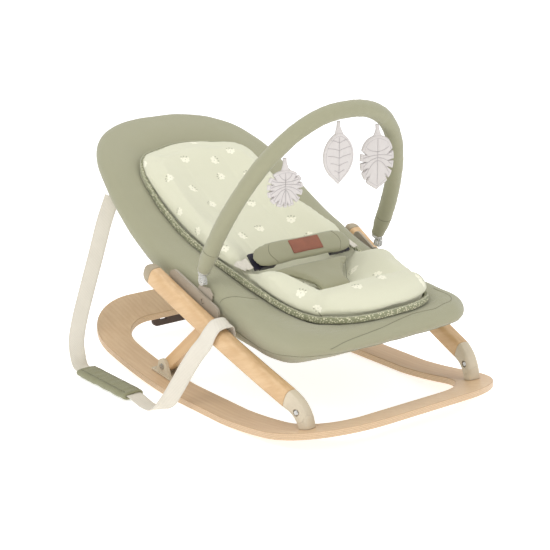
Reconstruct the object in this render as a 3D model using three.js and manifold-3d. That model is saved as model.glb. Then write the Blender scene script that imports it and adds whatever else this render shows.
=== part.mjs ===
// A folding baby bouncer seat on a bent plywood rocker.
//
// Millimetres, +Z up. +X points to the baby's feet, +Y to the baby's left. The floor is at z = 0; the origin
// is below the middle of the whole seat. Left and right are the baby's.
import * as THREE from 'three';
import { mergeVertices } from 'three/addons/utils/BufferGeometryUtils.js';
import Module from 'manifold-3d';

const wasm = await Module();
wasm.setup();

// ---------------------------------------------------------------- driving dimensions
const GAP = 0.3; // clearance kept between touching pieces
const BORE_GAP = 0.55; // the same around a pin
const RING_GAP = 0.8; // the same on the ring, whose flats cut across its curve
const RING_REAR_X = -350;
const RING_FRONT_X = 350;
const HEAD_X = -408; // rear tip of the seat cover
const ORIGIN_SHIFT = -(HEAD_X + RING_FRONT_X) / 2; // puts the origin below the middle

const ring = {
  halfWidth: 219,
  sideWidth: 55,
  rearWidth: 67,
  frontWidth: 62,
  outerRadiusRear: 128,
  outerRadiusFront: 136,
  innerRadiusRear: 70,
  innerRadiusFront: 82,
  thickness: 11.5,
  rockRadius: 1016,
  contactX: 35, // where the curved ring touches the floor
  straight: 18, // half length of the curve's own straight stretch there
  flat: 70, // half length of the flat that is worked on it
};

const arm = {
  pivot: { x: 257, z: 58 },
  elbow: { x: 234, z: 73 }, // where the wood meets the knuckle
  rear: { x: -80, z: 199 }, // centre of the wood's rear end
  height: 32,
  width: 25,
  elbowY: 181,
  rearY: 214,
  bow: -4,
  capLength: 20,
};

const knuckle = {
  pivotY: 177,
  lean: 0.22, // how far the elbow moves inward per unit forward
  slot: 9,
  tongueRadius: 9,
  seamRadius: 16,
  screwRadius: 2.8,
  grip: 18, // between the two recesses for the pivot screw's heads
};

const leg = {
  pivot: { x: -95, z: 33 }, top: { x: 20, z: 132 }, y: 179, size: 19, thickness: 15, pinRadius: 3.5,
};

const bracket = { rear: -30, front: 36, width: 32, plate: 2.5, earRadius: 13, earThickness: 6 };

const stand = {
  x: -303,
  pivotZ: 44.5,
  halfWidth: 74,
  height: 20,
  thickness: 7,
  barrelRadius: 4.5,
  boreRadius: 2.2,
  lugY: 52,
};

const rail = { rear: { x: -46, z: 201 }, front: { x: 46, z: 162 }, height: 26, thickness: 4 };

const seat = {
  pivot: { x: 22, z: 176 },
  tubeRadius: 8,
  tubeInset: 21,
  skin: 4.5, // thickness of the fabric shells
  roll: 22, // radius of the padded rim
  border: 46, // width of the rim before the seat dips
  // half of the plan outline, from the head to the feet
  plan: [[HEAD_X, 0], [-404, 62], [-382, 118], [-338, 160], [-262, 186], [-160, 194], [-70, 189], [14, 180.4],
    [110, 178], [190, 178], [245, 168], [275, 138], [284, 88], [284, 0]],
  rim: [[HEAD_X, 397], [-303, 350], [-230, 304], [-159, 262], [-74, 228], [20, 203], [100, 187], [170, 176],
    [230, 174], [284, 172]], // top of the rim along x
  dish: [[HEAD_X, 12], [-300, 20], [-150, 22], [-50, 36], [60, 46], [150, 40], [220, 22], [284, 6]],
  depth: [[HEAD_X, 24], [-300, 26], [-150, 32], [-60, 46], [30, 66], [110, 62], [160, 54], [220, 36],
    [260, 20], [284, 14]],
};

const cushion = {
  plan: [[-316, 0], [-311, 48], [-294, 92], [-262, 120], [-200, 130], [-60, 130], [40, 130], [130, 130],
    [196, 121], [240, 98], [258, 56], [262, 0]],
  thickness: [[-300, 38], [-150, 48], [0, 48], [100, 44], [262, 38]],
  edge: 16, // radius of its rounded edge
  sag: 12, // how much thinner it is in the middle
  dimple: { x: 34, depth: 26, reach: 62 }, // where the belt pulls it down
  // the fuller roll at the feet, and the bay that the crotch pad lies in
  swell: { height: 18, x: 70, length: 50, edge: 26, bay: { x: 84, length: 62, width: 52 } },
  piping: 3.5,
};

const bar = {
  baseX: 18,
  baseZ: 226,
  halfWidth: 184,
  reach: 288,
  lean: 27, // degrees forward of vertical
  sleeveRadius: 13.5,
  boreRadius: 5.9,
  coreRadius: 5,
};

const strap = { width: 27, thickness: 2.4 };

// ---------------------------------------------------------------- materials
function paint(color, roughness, metalness = 0) {
  return new THREE.MeshStandardMaterial({ color, roughness, metalness });
}

const paints = {
  plywood: paint(0xd9b98c, 0.55),
  beech: paint(0xe2bf8f, 0.5),
  beigePlastic: paint(0xc8bca5, 0.5),
  greyPlastic: paint(0x9c9384, 0.55),
  brownPlastic: paint(0x5f4a3c, 0.5),
  clearPlastic: paint(0xd8d8d2, 0.2),
  darkPlastic: paint(0x2d2a3a, 0.4),
  steel: paint(0xb8b8b8, 0.3, 1),
  tube: paint(0x8d9093, 0.4, 1),
  sage: paint(0xa9aa8b, 0.85),
  cream: paint(0xe0e0c6, 0.9),
  olive: paint(0x8d8e6c, 0.9),
  webbing: paint(0xd3cbba, 0.9),
  leather: paint(0xad6a56, 0.6),
  toy: paint(0xd6d2cf, 0.9),
};

// ---------------------------------------------------------------- geometry helpers
const v3 = (x, y, z) => new THREE.Vector3(x, y, z);
const SIDES = [['left', 1], ['right', -1]];

// One closed body from points and triangles: shared points merged, flat triangles dropped, faces outward.
function solid(points, triangles) {
  const raw = new THREE.BufferGeometry();
  raw.setAttribute('position', new THREE.Float32BufferAttribute(points.flatMap((p) => p.toArray()), 3));
  raw.setIndex(triangles.flat());
  const merged = mergeVertices(raw, 1e-3);
  const index = Array.from(merged.index.array);
  const position = merged.attributes.position;
  const kept = [];
  let volume = 0;
  for (let i = 0; i < index.length; i += 3) {
    const [a, b, c] = index.slice(i, i + 3);
    if (a === b || b === c || a === c) continue;
    kept.push([a, b, c]);
    const [p, q, r] = [a, b, c].map((k) => new THREE.Vector3().fromBufferAttribute(position, k));
    volume += p.dot(q.cross(r));
  }
  merged.setIndex(kept.flatMap((t) => (volume < 0 ? [t[0], t[2], t[1]] : t)));
  merged.computeVertexNormals();
  return merged;
}

// Skin over a row of equal point loops; closed joins the last to the first, otherwise both ends are capped.
function loft(loops, closed = false) {
  const count = loops[0].length;
  const points = loops.flat();
  const triangles = [];
  const spans = closed ? loops.length : loops.length - 1;
  for (let i = 0; i < spans; i += 1) {
    const a = i * count;
    const b = ((i + 1) % loops.length) * count;
    for (let j = 0; j < count; j += 1) {
      const k = (j + 1) % count;
      triangles.push([a + j, a + k, b + k], [a + j, b + k, b + j]);
    }
  }
  if (!closed) {
    [[0, true], [loops.length - 1, false]].forEach(([i, flip]) => {
      const middle = loops[i].reduce((sum, p) => sum.add(p), v3(0, 0, 0)).divideScalar(count);
      points.push(middle);
      const m = points.length - 1;
      for (let j = 0; j < count; j += 1) {
        const a = i * count + j;
        const b = i * count + ((j + 1) % count);
        triangles.push(flip ? [m, b, a] : [m, a, b]);
      }
    });
  }
  return solid(points, triangles);
}

// A geometry from any three.js class as a manifold solid, and back.
function toManifold(geometry) {
  const bare = new THREE.BufferGeometry();
  bare.setAttribute('position', geometry.attributes.position);
  if (geometry.index) bare.setIndex(geometry.index);
  const merged = mergeVertices(bare, 1e-3);
  const mesh = new wasm.Mesh({
    numProp: 3,
    vertProperties: new Float32Array(merged.attributes.position.array),
    triVerts: new Uint32Array(merged.index.array),
  });
  return new wasm.Manifold(mesh);
}

function fromManifold(body) {
  const mesh = body.getMesh();
  const geometry = new THREE.BufferGeometry();
  geometry.setAttribute('position', new THREE.BufferAttribute(new Float32Array(mesh.vertProperties), 3));
  geometry.setIndex(new THREE.BufferAttribute(new Uint32Array(mesh.triVerts), 1));
  geometry.computeVertexNormals();
  return geometry;
}

const cut = (body, ...tools) => (
  fromManifold(tools.reduce((b, t) => b.subtract(toManifold(t)), toManifold(body)))
);
const join = (...bodies) => fromManifold(bodies.map(toManifold).reduce((a, b) => a.add(b)));

// A smooth curve y(x) through a few [x, y] points.
function profile(points) {
  const slope = points.map((p, i) => {
    const a = points[Math.max(0, i - 1)];
    const b = points[Math.min(points.length - 1, i + 1)];
    return (b[1] - a[1]) / (b[0] - a[0]);
  });
  return (x) => {
    let i = 0;
    while (i < points.length - 2 && x > points[i + 1][0]) i += 1;
    const width = points[i + 1][0] - points[i][0];
    const t = THREE.MathUtils.clamp((x - points[i][0]) / width, 0, 1);
    const s = t * t * (3 - 2 * t);
    const start = points[i][1] + slope[i] * width * t;
    const end = points[i + 1][1] - slope[i + 1] * width * (1 - t);
    return start * (1 - s) + end * s;
  };
}

const smooth = (t) => THREE.MathUtils.smoothstep(t, 0, 1);
const quarter = (t) => Math.sqrt(Math.max(0, 1 - (1 - Math.min(1, t)) ** 2)); // quarter round, 0 to 1

// Symmetric closed plan outline through points of its +Y half, from the rear tip to the front tip.
function outline(half, count) {
  const mirrored = half.slice(1, -1).reverse().map(([x, y]) => [x, -y]);
  const points = [...half, ...mirrored].map(([x, y]) => v3(x, y, 0));
  const curve = new THREE.CatmullRomCurve3(points, true, 'centripetal');
  return Array.from({ length: count }, (_, i) => curve.getPoint(i / count));
}

// How far a plan point lies inside a closed outline.
function insetOf(plan, x, y) {
  const p = v3(x, y, 0);
  const nearest = v3(0, 0, 0);
  return plan.reduce((best, a, i) => {
    const b = plan[(i + 1) % plan.length];
    const edge = new THREE.Line3(v3(a.x, a.y, 0), v3(b.x, b.y, 0));
    return Math.min(best, edge.closestPointToPoint(p, true, nearest).distanceTo(p));
  }, Infinity);
}

// A soft body over a plan outline. Loops shrink from the outline to a line on the axis; heights come from
// top(x, y, inset) and bottom(x, y, inset).
function pad(plan, spine, levels, top, bottom) {
  const level = (t, height) => plan.map((p) => {
    const s = v3(THREE.MathUtils.clamp(p.x, spine[0], spine[1]), 0, 0);
    const q = p.clone().lerp(s, t);
    return v3(q.x, q.y, height(q.x, q.y, insetOf(plan, q.x, q.y)));
  });
  const up = levels.map((t) => level(t, top));
  const down = levels.map((t) => level(t, bottom));
  return solidFromLevels([...up.slice().reverse(), ...down]);
}

// Loops whose first and last one lie folded flat on a line, so each closes itself.
function solidFromLevels(loops) {
  const count = loops[0].length;
  const points = loops.flat();
  const triangles = [];
  for (let i = 0; i < loops.length - 1; i += 1) {
    for (let j = 0; j < count; j += 1) {
      const k = (j + 1) % count;
      const a = i * count;
      const b = a + count;
      triangles.push([a + j, a + k, b + k], [a + j, b + k, b + j]);
    }
  }
  return solid(points, triangles);
}

// A flat plate: an x-z side view outline, extruded evenly about y = 0.
function plateXZ(points, thickness, holes = []) {
  const shape = new THREE.Shape(points.map(([x, z]) => new THREE.Vector2(x, z)));
  holes.forEach(([x, z, radius]) => {
    shape.holes.push(new THREE.Path().absarc(x, z, radius, 0, 2 * Math.PI, true));
  });
  const settings = { depth: thickness, bevelEnabled: false, curveSegments: 8 };
  const geometry = new THREE.ExtrudeGeometry(shape, settings);
  geometry.translate(0, 0, -thickness / 2);
  geometry.rotateX(Math.PI / 2);
  return geometry;
}

const arc = (x, z, radius, from, to, steps) => Array.from({ length: steps + 1 }, (_, i) => {
  const angle = THREE.MathUtils.degToRad(from + ((to - from) * i) / steps);
  return [x + radius * Math.cos(angle), z + radius * Math.sin(angle)];
});

// A cylinder along Y.
function rodY(radius, length, sides = 12) {
  return new THREE.CylinderGeometry(radius, radius, length, sides);
}

const moved = (geometry, x, y, z) => geometry.clone().translate(x, y, z);

const bouncer = new THREE.Group();
bouncer.position.x = ORIGIN_SHIFT;

function place(name, geometry, material, x = 0, y = 0, z = 0) {
  const mesh = new THREE.Mesh(geometry, material);
  mesh.name = name;
  mesh.position.set(x, y, z);
  bouncer.add(mesh);
  return mesh;
}

// ---------------------------------------------------------------- rocker ring
function ringBottom(x) {
  const sagitta = (reach) => ring.rockRadius - Math.sqrt(ring.rockRadius ** 2 - reach ** 2);
  const out = Math.max(ring.flat, Math.abs(x - ring.contactX)) - ring.straight;
  return sagitta(out) - sagitta(ring.flat - ring.straight);
}

const ringTop = (x) => ringBottom(x) + ring.thickness;

// A rounded rectangle as points: the same count on every stretch, so that two of them can be joined.
function roundedLoop(rearX, frontX, halfWidth, rearRadius, frontRadius) {
  const corners = [
    [frontX - frontRadius, -halfWidth + frontRadius, frontRadius, -90],
    [frontX - frontRadius, halfWidth - frontRadius, frontRadius, 0],
    [rearX + rearRadius, halfWidth - rearRadius, rearRadius, 90],
    [rearX + rearRadius, -halfWidth + rearRadius, rearRadius, 180],
  ];
  const points = [];
  corners.forEach(([cx, cy, radius, from], i) => {
    const bend = arc(cx, cy, radius, from, from + 90, 7);
    const [nx, ny, nr, nf] = corners[(i + 1) % 4];
    const next = arc(nx, ny, nr, nf, nf + 90, 7)[0];
    const end = bend[bend.length - 1];
    const steps = i % 2 ? 22 : 5;
    points.push(...bend);
    for (let k = 1; k < steps; k += 1) {
      points.push([end[0] + ((next[0] - end[0]) * k) / steps, end[1] + ((next[1] - end[1]) * k) / steps]);
    }
  });
  return points;
}

function rockerBase() {
  const outer = roundedLoop(
    RING_REAR_X, RING_FRONT_X, ring.halfWidth, ring.outerRadiusRear, ring.outerRadiusFront,
  );
  const inner = roundedLoop(
    RING_REAR_X + ring.rearWidth, RING_FRONT_X - ring.frontWidth, ring.halfWidth - ring.sideWidth,
    ring.innerRadiusRear, ring.innerRadiusFront,
  );
  const loops = outer.map(([ox, oy], i) => {
    const [ix, iy] = inner[i];
    return [
      v3(ox, oy, ringBottom(ox)), v3(ox, oy, ringTop(ox)),
      v3(ix, iy, ringTop(ix)), v3(ix, iy, ringBottom(ix)),
    ];
  });
  place('rocker_base', loft(loops, true), paints.plywood);
}

// ---------------------------------------------------------------- arms, knuckles and front feet
function armCentre(t, side) {
  const x = arm.elbow.x + (arm.rear.x - arm.elbow.x) * t;
  const z = arm.elbow.z + (arm.rear.z - arm.elbow.z) * t + arm.bow * 4 * t * (1 - t);
  return v3(x, side * (arm.elbowY + (arm.rearY - arm.elbowY) * t), z);
}

// One loop of the arm's rounded oblong section, square to the tangent.
function oblong(centre, tangent, width, height) {
  const across = v3(0, 0, 1).cross(tangent).normalize();
  const up = tangent.clone().cross(across).normalize();
  return Array.from({ length: 16 }, (_, j) => {
    const angle = (2 * Math.PI * j) / 16;
    const [c, s] = [Math.cos(angle), Math.sin(angle)];
    const w = (Math.sign(c) * Math.abs(c) ** 0.62 * width) / 2;
    const h = (Math.sign(s) * Math.abs(s) ** 0.62 * height) / 2;
    return centre.clone().addScaledVector(across, w).addScaledVector(up, h);
  });
}

// Loops from t0 to t1 along the arm's centreline; each stop is [t, scale].
function armLoops(side, stops) {
  return stops.map(([t, scale]) => {
    const tangent = armCentre(t + 0.01, side).sub(armCentre(t - 0.01, side)).normalize();
    return oblong(armCentre(t, side), tangent, arm.width * scale, arm.height * scale);
  });
}

function arms() {
  const length = armCentre(0, 1).distanceTo(armCentre(1, 1));
  const capT = arm.capLength / length;
  const seamT = 1 / length;
  SIDES.forEach(([name, side]) => {
    const wood = Array.from({ length: 7 }, (_, i) => [seamT + ((1 - seamT) * i) / 6, 1]);
    place(`arm_${name}`, loft(armLoops(side, wood)), paints.beech);
    const cap = [0, 0.35, 0.7, 0.9, 1].map((s) => (
      [1 + GAP / length + capT * s, Math.sqrt(1 - (s * 0.93) ** 2.6)]
    ));
    place(`arm_cap_${name}`, loft(armLoops(side, cap)), paints.greyPlastic);
  });
}

// The elbow carries the arm's section round and down to the ring. A round seam splits it: the knuckle turns
// with the arm, the foot stays on the ring.
function elbow(side) {
  const start = armCentre(0, side);
  const steps = [[0, 0], [12, -6], [22, -15], [30, -28], [34, -44]];
  const path = new THREE.CatmullRomCurve3(steps.map(([dx, dz]) => v3(
    start.x + dx, start.y - side * knuckle.lean * dx, start.z + dz,
  )));
  const loops = Array.from({ length: 8 }, (_, i) => {
    const t = i / 7;
    const tangent = i ? path.getTangent(t) : armCentre(-0.02, side).sub(armCentre(0.02, side)).normalize();
    return oblong(path.getPoint(t), tangent.negate(), arm.width * (1 - 0.1 * t), arm.height * (1 - 0.3 * t));
  });
  return loft(loops);
}

// Side view of the space on the arm's side of the seam, grown by a clearance.
function seamRegion(clearance) {
  const seam = arc(arm.pivot.x, arm.pivot.z, knuckle.seamRadius + clearance, -132, 40, 12);
  const away = 2 * clearance;
  return plateXZ([...seam, [arm.pivot.x + 10 + away, arm.pivot.z + 90], [arm.pivot.x - 90, arm.pivot.z + 90],
    [arm.pivot.x - 90, arm.pivot.z - 60], [arm.pivot.x - 22 + away, arm.pivot.z - 60]], 500);
}

// The foot's tongue, which the knuckle turns about. It leans from the foot to the pivot.
function tongue(growth, width) {
  const radius = knuckle.tongueRadius + growth;
  const root = knuckle.seamRadius + 3;
  const neck = [[-62, root], [-45, root + 2], [-28, root]].map(([angle, reach]) => {
    const turn = THREE.MathUtils.degToRad(angle);
    return [reach * Math.cos(turn) + growth * 0.4, reach * Math.sin(turn) - growth * 0.4];
  });
  return plateXZ([...arc(0, 0, radius, 45, 225, 8), ...neck], width);
}

function turnedY(geometry, degrees) {
  return geometry.clone().rotateY(THREE.MathUtils.degToRad(degrees));
}

function intersect(a, b) {
  return fromManifold(toManifold(a).intersect(toManifold(b)));
}

// Everything below the ring's top surface near the foot.
function underRing() {
  const top = [];
  for (let x = 230; x <= 330; x += 20) top.push([x, ringTop(x) + RING_GAP]);
  return plateXZ([[330, -40], [230, -40], ...top].reverse(), 500);
}

function elbows() {
  const { x, z } = arm.pivot;
  SIDES.forEach(([name, side]) => {
    const y = side * knuckle.pivotY;
    const at = (geometry) => moved(geometry, x, y, z);
    const bore = at(rodY(knuckle.screwRadius + BORE_GAP, 60));
    const recess = [1, -1].map((s) => at(moved(rodY(6, 10), 0, s * (knuckle.grip / 2 + 5), 0)));
    const room = [0, 12, 24].map((turn) => at(turnedY(tongue(1.6, knuckle.slot), turn)));
    const turning = cut(intersect(elbow(side), seamRegion(0)), ...room, bore, ...recess);
    place(`arm_knuckle_${name}`, turning, paints.beigePlastic);
    const block = cut(elbow(side), seamRegion(GAP), underRing());
    const foot = cut(join(block, at(tongue(0, knuckle.slot - 1))), bore);
    place(`front_foot_${name}`, foot, paints.beigePlastic);
    place(`arm_pivot_screw_${name}`, pivotScrew(), paints.steel, x, y, z);
  });
}

// A bolt with a round head at each end, sunk in the knuckle's recesses.
function pivotScrew() {
  const seat = knuckle.grip / 2 + GAP;
  const half = [
    [0, seat + 2.4], [3.4, seat + 2.4], [4.8, seat + 1.2], [4.8, seat], [knuckle.screwRadius, seat],
  ];
  const points = [...half, ...half.slice().reverse().map(([r, h]) => [r, -h])];
  return new THREE.LatheGeometry(points.map(([r, h]) => new THREE.Vector2(r, h)).reverse(), 18);
}

// ---------------------------------------------------------------- legs and their brackets
function legs() {
  const dx = leg.top.x - leg.pivot.x;
  const dz = leg.top.z - leg.pivot.z;
  const length = Math.hypot(dx, dz);
  const half = leg.size / 2;
  const side = plateXZ([
    ...arc(0, 0, half, 90, 270, 10),
    [length - 6, -half], ...arc(length - 6, -half + 6, 6, -90, 0, 4).slice(1),
    ...arc(length - 6, half - 6, 6, 0, 90, 4),
  ], leg.thickness, [[0, 0, leg.pinRadius + BORE_GAP]]);
  SIDES.forEach(([name, sign]) => {
    const wood = place(`leg_${name}`, side, paints.beech, leg.pivot.x, sign * leg.y, leg.pivot.z);
    wood.rotation.y = -Math.atan2(dz, dx);
    place(`leg_bracket_${name}`, legBracket(), paints.beigePlastic, leg.pivot.x, sign * leg.y, 0);
    place(`leg_pin_${name}`, legPin(), paints.steel, leg.pivot.x, sign * leg.y, leg.pivot.z);
  });
}

// A pin with a flat head at each end, outside the bracket's ears.
function legPin() {
  const half = [[0, 16], [5, 16], [5.4, 14.4], [leg.pinRadius, 14.2]];
  const points = [...half.map(([r, h]) => [r, -h]), ...half.slice().reverse()];
  return new THREE.LatheGeometry(points.map(([r, h]) => new THREE.Vector2(r, h)), 16);
}

// A base plate on the ring's side runner with two round ears; x is measured from the pivot.
function legBracket() {
  const base = (x) => ringTop(leg.pivot.x + x) + RING_GAP;
  const { rear, front } = bracket;
  const plate = plateXZ([
    [rear, base(rear)], [rear, base(rear) + bracket.plate],
    [front, base(front) + bracket.plate], [front, base(front)],
  ], bracket.width);
  const ear = plateXZ([
    [-20, base(-20) + 1], ...arc(0, leg.pivot.z, bracket.earRadius, 180, 0, 14), [20, base(20) + 2],
  ].reverse(), bracket.earThickness);
  const offset = (leg.thickness + bracket.earThickness) / 2 + GAP;
  const body = join(plate, moved(ear, 0, offset, 0), moved(ear, 0, -offset, 0));
  return cut(body, moved(rodY(leg.pinRadius + BORE_GAP, 60), 0, 0, leg.pivot.z));
}

// ---------------------------------------------------------------- rocking stop under the rear bar
function rockingStop() {
  const { x, pivotZ, halfWidth, height, thickness, barrelRadius } = stand;
  const r = 9;
  const shape = new THREE.Shape();
  shape.moveTo(-halfWidth + 3, 0);
  shape.lineTo(-halfWidth, -height + r);
  shape.absarc(-halfWidth + r, -height + r, r, Math.PI, 1.5 * Math.PI);
  shape.absarc(halfWidth - r, -height + r, r, 1.5 * Math.PI, 2 * Math.PI);
  shape.lineTo(halfWidth - 3, 0);
  const plate = new THREE.ExtrudeGeometry(shape, { depth: thickness, bevelEnabled: false, curveSegments: 5 });
  plate.rotateX(Math.PI / 2);
  plate.rotateZ(Math.PI / 2);
  plate.translate(-thickness / 2, 0, 0);
  const barrel = rodY(barrelRadius, 2 * halfWidth - 10);
  const notches = [-1, 1].map((s) => moved(new THREE.BoxGeometry(20, 15, 20), 0, s * stand.lugY, 0));
  const bore = rodY(stand.boreRadius, 400);
  place('stand_plate', cut(join(plate, barrel), ...notches, bore), paints.brownPlastic, x, 0, pivotZ);
  place('stand_pin', rodY(1.9, 2 * halfWidth - 14, 12), paints.steel, x, 0, pivotZ);
  const lug = (s) => {
    const top = (dx) => ringBottom(x + dx) - RING_GAP - pivotZ;
    return moved(plateXZ([
      [-10, top(-10)], ...arc(0, 0, barrelRadius, 200, 340, 8), [10, top(10)],
    ].reverse(), 12), 0, s * stand.lugY, 0);
  };
  SIDES.forEach(([name, side]) => {
    const bored = cut(lug(side), rodY(stand.boreRadius, 400));
    place(`stand_lug_${name}`, bored, paints.brownPlastic, x, 0, pivotZ);
  });
}

// ---------------------------------------------------------------- seat shells, frame tube and cushion
const seatRim = profile(seat.rim);
const seatDish = profile(seat.dish);
const seatDepth = profile(seat.depth);
const seatMiddle = (x) => seatRim(x) - seat.roll * 0.9; // height of the rim's widest line

// Upper surface of the seat, at an inset from its outline.
function seatTop(x, inset) {
  const crown = seat.roll * 0.9 * quarter(inset / seat.roll);
  return seatMiddle(x) + crown - seatDish(x) * smooth((inset - seat.border) / 85);
}

function seatUnder(x, inset) {
  return seatMiddle(x) - seatDepth(x) * quarter(inset / (seat.roll + 0.5 * seatDepth(x)));
}

const SEAT_SPINE = [-270, 150];
const SEAT_LEVELS = [0, 0.05, 0.12, 0.26, 0.42, 0.65, 1];

function seatShells() {
  const plan = outline(seat.plan, 52);
  const { skin } = seat;
  const roof = (x, y, d) => (d < skin
    ? seatMiddle(x) + GAP / 2
    : seatTop(x, d) - skin * quarter((d - skin) / skin));
  const floor = (x, y, d) => (d < skin
    ? seatMiddle(x) - GAP / 2
    : seatUnder(x, d) + skin * quarter((d - skin) / skin));
  const cover = pad(plan, SEAT_SPINE, SEAT_LEVELS, (x, y, d) => seatTop(x, d) + GAP / 2, roof);
  const sling = pad(plan, SEAT_SPINE, SEAT_LEVELS, floor, (x, y, d) => seatUnder(x, d) - GAP / 2);
  place('seat_cover', cover, paints.sage);
  place('seat_sling', sling, paints.sage);
}

function insetLoop(plan, inset, height) {
  return plan.map((p, i) => {
    const before = plan[(i + plan.length - 1) % plan.length];
    const after = plan[(i + 1) % plan.length];
    const along = after.clone().sub(before).normalize();
    const inward = v3(along.y, -along.x, 0);
    const q = p.clone().addScaledVector(inward, inset);
    return v3(q.x, q.y, height(q.x));
  });
}

// A round tube around a closed loop of points.
function ringTube(points, radius, sides) {
  const loops = points.map((p, i) => {
    const before = points[(i + points.length - 1) % points.length];
    const after = points[(i + 1) % points.length];
    const along = after.clone().sub(before).normalize();
    const out = along.clone().cross(v3(0, 0, 1)).normalize();
    const up = out.clone().cross(along).normalize();
    return Array.from({ length: sides }, (_, j) => {
      const angle = (2 * Math.PI * j) / sides;
      const [across, rise] = [radius * Math.cos(angle), radius * Math.sin(angle)];
      return p.clone().addScaledVector(out, across).addScaledVector(up, rise);
    });
  });
  return loft(loops, true);
}

function seatFrame() {
  const loop = insetLoop(outline(seat.plan, 44), seat.tubeInset, (x) => seatMiddle(x));
  place('seat_frame', ringTube(loop, seat.tubeRadius, 8), paints.tube);
}

const cushionThickness = profile(cushion.thickness);
const seatPlan = outline(seat.plan, 52);
const seatSurface = (x, y) => seatTop(x, insetOf(seatPlan, x, y));
const cushionOutline = outline(cushion.plan, 44);
const cushionPlan = insetLoop(cushionOutline, cushion.piping * 2 + 1, () => 0);

function cushionTop(x, y, inset) {
  const { dimple } = cushion;
  const across = THREE.MathUtils.clamp((x - dimple.x) / dimple.reach, -1, 1);
  const crown = (cushionThickness(x) - 8) * quarter(inset / cushion.edge);
  const belted = dimple.depth * Math.cos((Math.PI * across) / 2) ** 2 * quarter(inset / cushion.edge);
  const { swell } = cushion;
  const away = Math.hypot((x - swell.bay.x) / swell.bay.length, y / swell.bay.width);
  const full = smooth((x - swell.x) / swell.length) * smooth((away - 0.75) / 0.5);
  const roll = swell.height * full * quarter(inset / swell.edge);
  return seatSurface(x, y) + 8 + crown + roll - belted - cushion.sag * smooth((inset - 20) / 90);
}

const cushionHeight = (x, y) => cushionTop(x, y, insetOf(cushionPlan, x, y));

// The space that the seat's upper surface fills, and a little above it.
function seatBlock(clearance) {
  const roof = (x, y, d) => seatTop(x, d) + clearance;
  return pad(seatPlan, SEAT_SPINE, SEAT_LEVELS, roof, (x) => seatMiddle(x) - 90);
}

function babyCushion() {
  const bottom = (x, y) => seatSurface(x, y) - 5;
  const body = pad(cushionPlan, [-180, 150], [0, 0.06, 0.15, 0.28, 0.45, 0.7, 1], cushionTop, bottom);
  place('cushion', cut(body, seatBlock(1)), paints.cream);
  const cord = insetLoop(cushionOutline, cushion.piping + 0.5, () => 0)
    .map((p) => v3(p.x, p.y, seatSurface(p.x, p.y) + cushion.piping + 3.2));
  place('cushion_edge_band', ringTube(cord, cushion.piping, 5), paints.olive);
}

// ---------------------------------------------------------------- recline rails and seat brackets
const armSlope = (arm.rearY - arm.elbowY) / (arm.elbow.x - arm.rear.x);
const armInner = (x) => arm.elbowY + armSlope * (arm.elbow.x - x) - arm.width / 2;

// A long plate between two ends with round corners, seen from the side.
function strapPlate(from, to, height, thickness, holes) {
  const angle = Math.atan2(to.z - from.z, to.x - from.x);
  const degrees = THREE.MathUtils.radToDeg(angle);
  const r = height / 2;
  return plateXZ([...arc(from.x, from.z, r, degrees + 90, degrees + 270, 8),
    ...arc(to.x, to.z, r, degrees - 90, degrees + 90, 8)], thickness, holes);
}

// Leans a shape inward towards the front, as the arms converge.
function sheared(geometry, side, slope, originX) {
  const { position } = geometry.attributes;
  for (let i = 0; i < position.count; i += 1) {
    position.setY(i, position.getY(i) - side * slope * (position.getX(i) - originX));
  }
  return geometry;
}

function reclineRails() {
  const y = armInner(seat.pivot.x) - GAP - rail.thickness / 2;
  SIDES.forEach(([name, side]) => {
    const plate = strapPlate(rail.rear, rail.front, rail.height, rail.thickness,
      [[seat.pivot.x, seat.pivot.z, 4.5]]);
    const leaning = sheared(plate, side, armSlope, seat.pivot.x);
    place(`recline_rail_${name}`, leaning, paints.greyPlastic, 0, side * y, 0);
    const bracketY = y - rail.thickness / 2 - 1.2 - 1.5;
    const plateBody = plateXZ([[4, 193], [8, 170], ...arc(seat.pivot.x, seat.pivot.z - 3, 12, 200, 340, 8),
      [38, 188], [30, 198], [8, 199]], 3);
    const boss = moved(rodY(4, 6), seat.pivot.x, side * 2.9, seat.pivot.z);
    const bracketBody = join(sheared(plateBody, side, armSlope, seat.pivot.x), boss);
    place(`seat_bracket_${name}`, bracketBody, paints.greyPlastic, 0, side * bracketY, 0);
  });
}

// ---------------------------------------------------------------- toy bar
const barLean = THREE.MathUtils.degToRad(bar.lean);

// A point of the arch's centreline: angle 0 is the left foot, 180 degrees the right foot.
function archPoint(angle) {
  const [c, s] = [Math.cos(angle), Math.sin(angle)];
  const y = Math.sign(c) * Math.abs(c) ** (2 / 2.3) * bar.halfWidth;
  const reach = Math.abs(s) ** (2 / 1.9) * bar.reach;
  return v3(bar.baseX + reach * Math.sin(barLean), y, bar.baseZ + reach * Math.cos(barLean));
}

function archPoints(count, drop) {
  const foot = archPoint(0);
  const down = v3(-Math.sin(barLean), 0, -Math.cos(barLean)).multiplyScalar(drop);
  const raw = Array.from({ length: 121 }, (_, i) => archPoint((Math.PI * i) / 120)); // every 1.5 degrees
  const curve = new THREE.CatmullRomCurve3([foot.clone().add(down), ...raw,
    v3(foot.x, -foot.y, foot.z).add(down)]);
  return curve.getSpacedPoints(count);
}

function barLoops(points, radius, sides) {
  return points.map((p, i) => {
    const before = points[Math.max(0, i - 1)];
    const after = points[Math.min(points.length - 1, i + 1)];
    const end = i === 0 || i === points.length - 1;
    const along = end ? v3(Math.sin(barLean), 0, Math.cos(barLean)) : after.clone().sub(before).normalize();
    if (end && i) along.negate();
    const out = v3(Math.cos(barLean), 0, -Math.sin(barLean));
    const up = along.clone().cross(out).normalize();
    return Array.from({ length: sides }, (_, j) => {
      const angle = (2 * Math.PI * j) / sides;
      const [across, rise] = [radius * Math.cos(angle), radius * Math.sin(angle)];
      return p.clone().addScaledVector(out, across).addScaledVector(up, rise);
    });
  });
}

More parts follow.
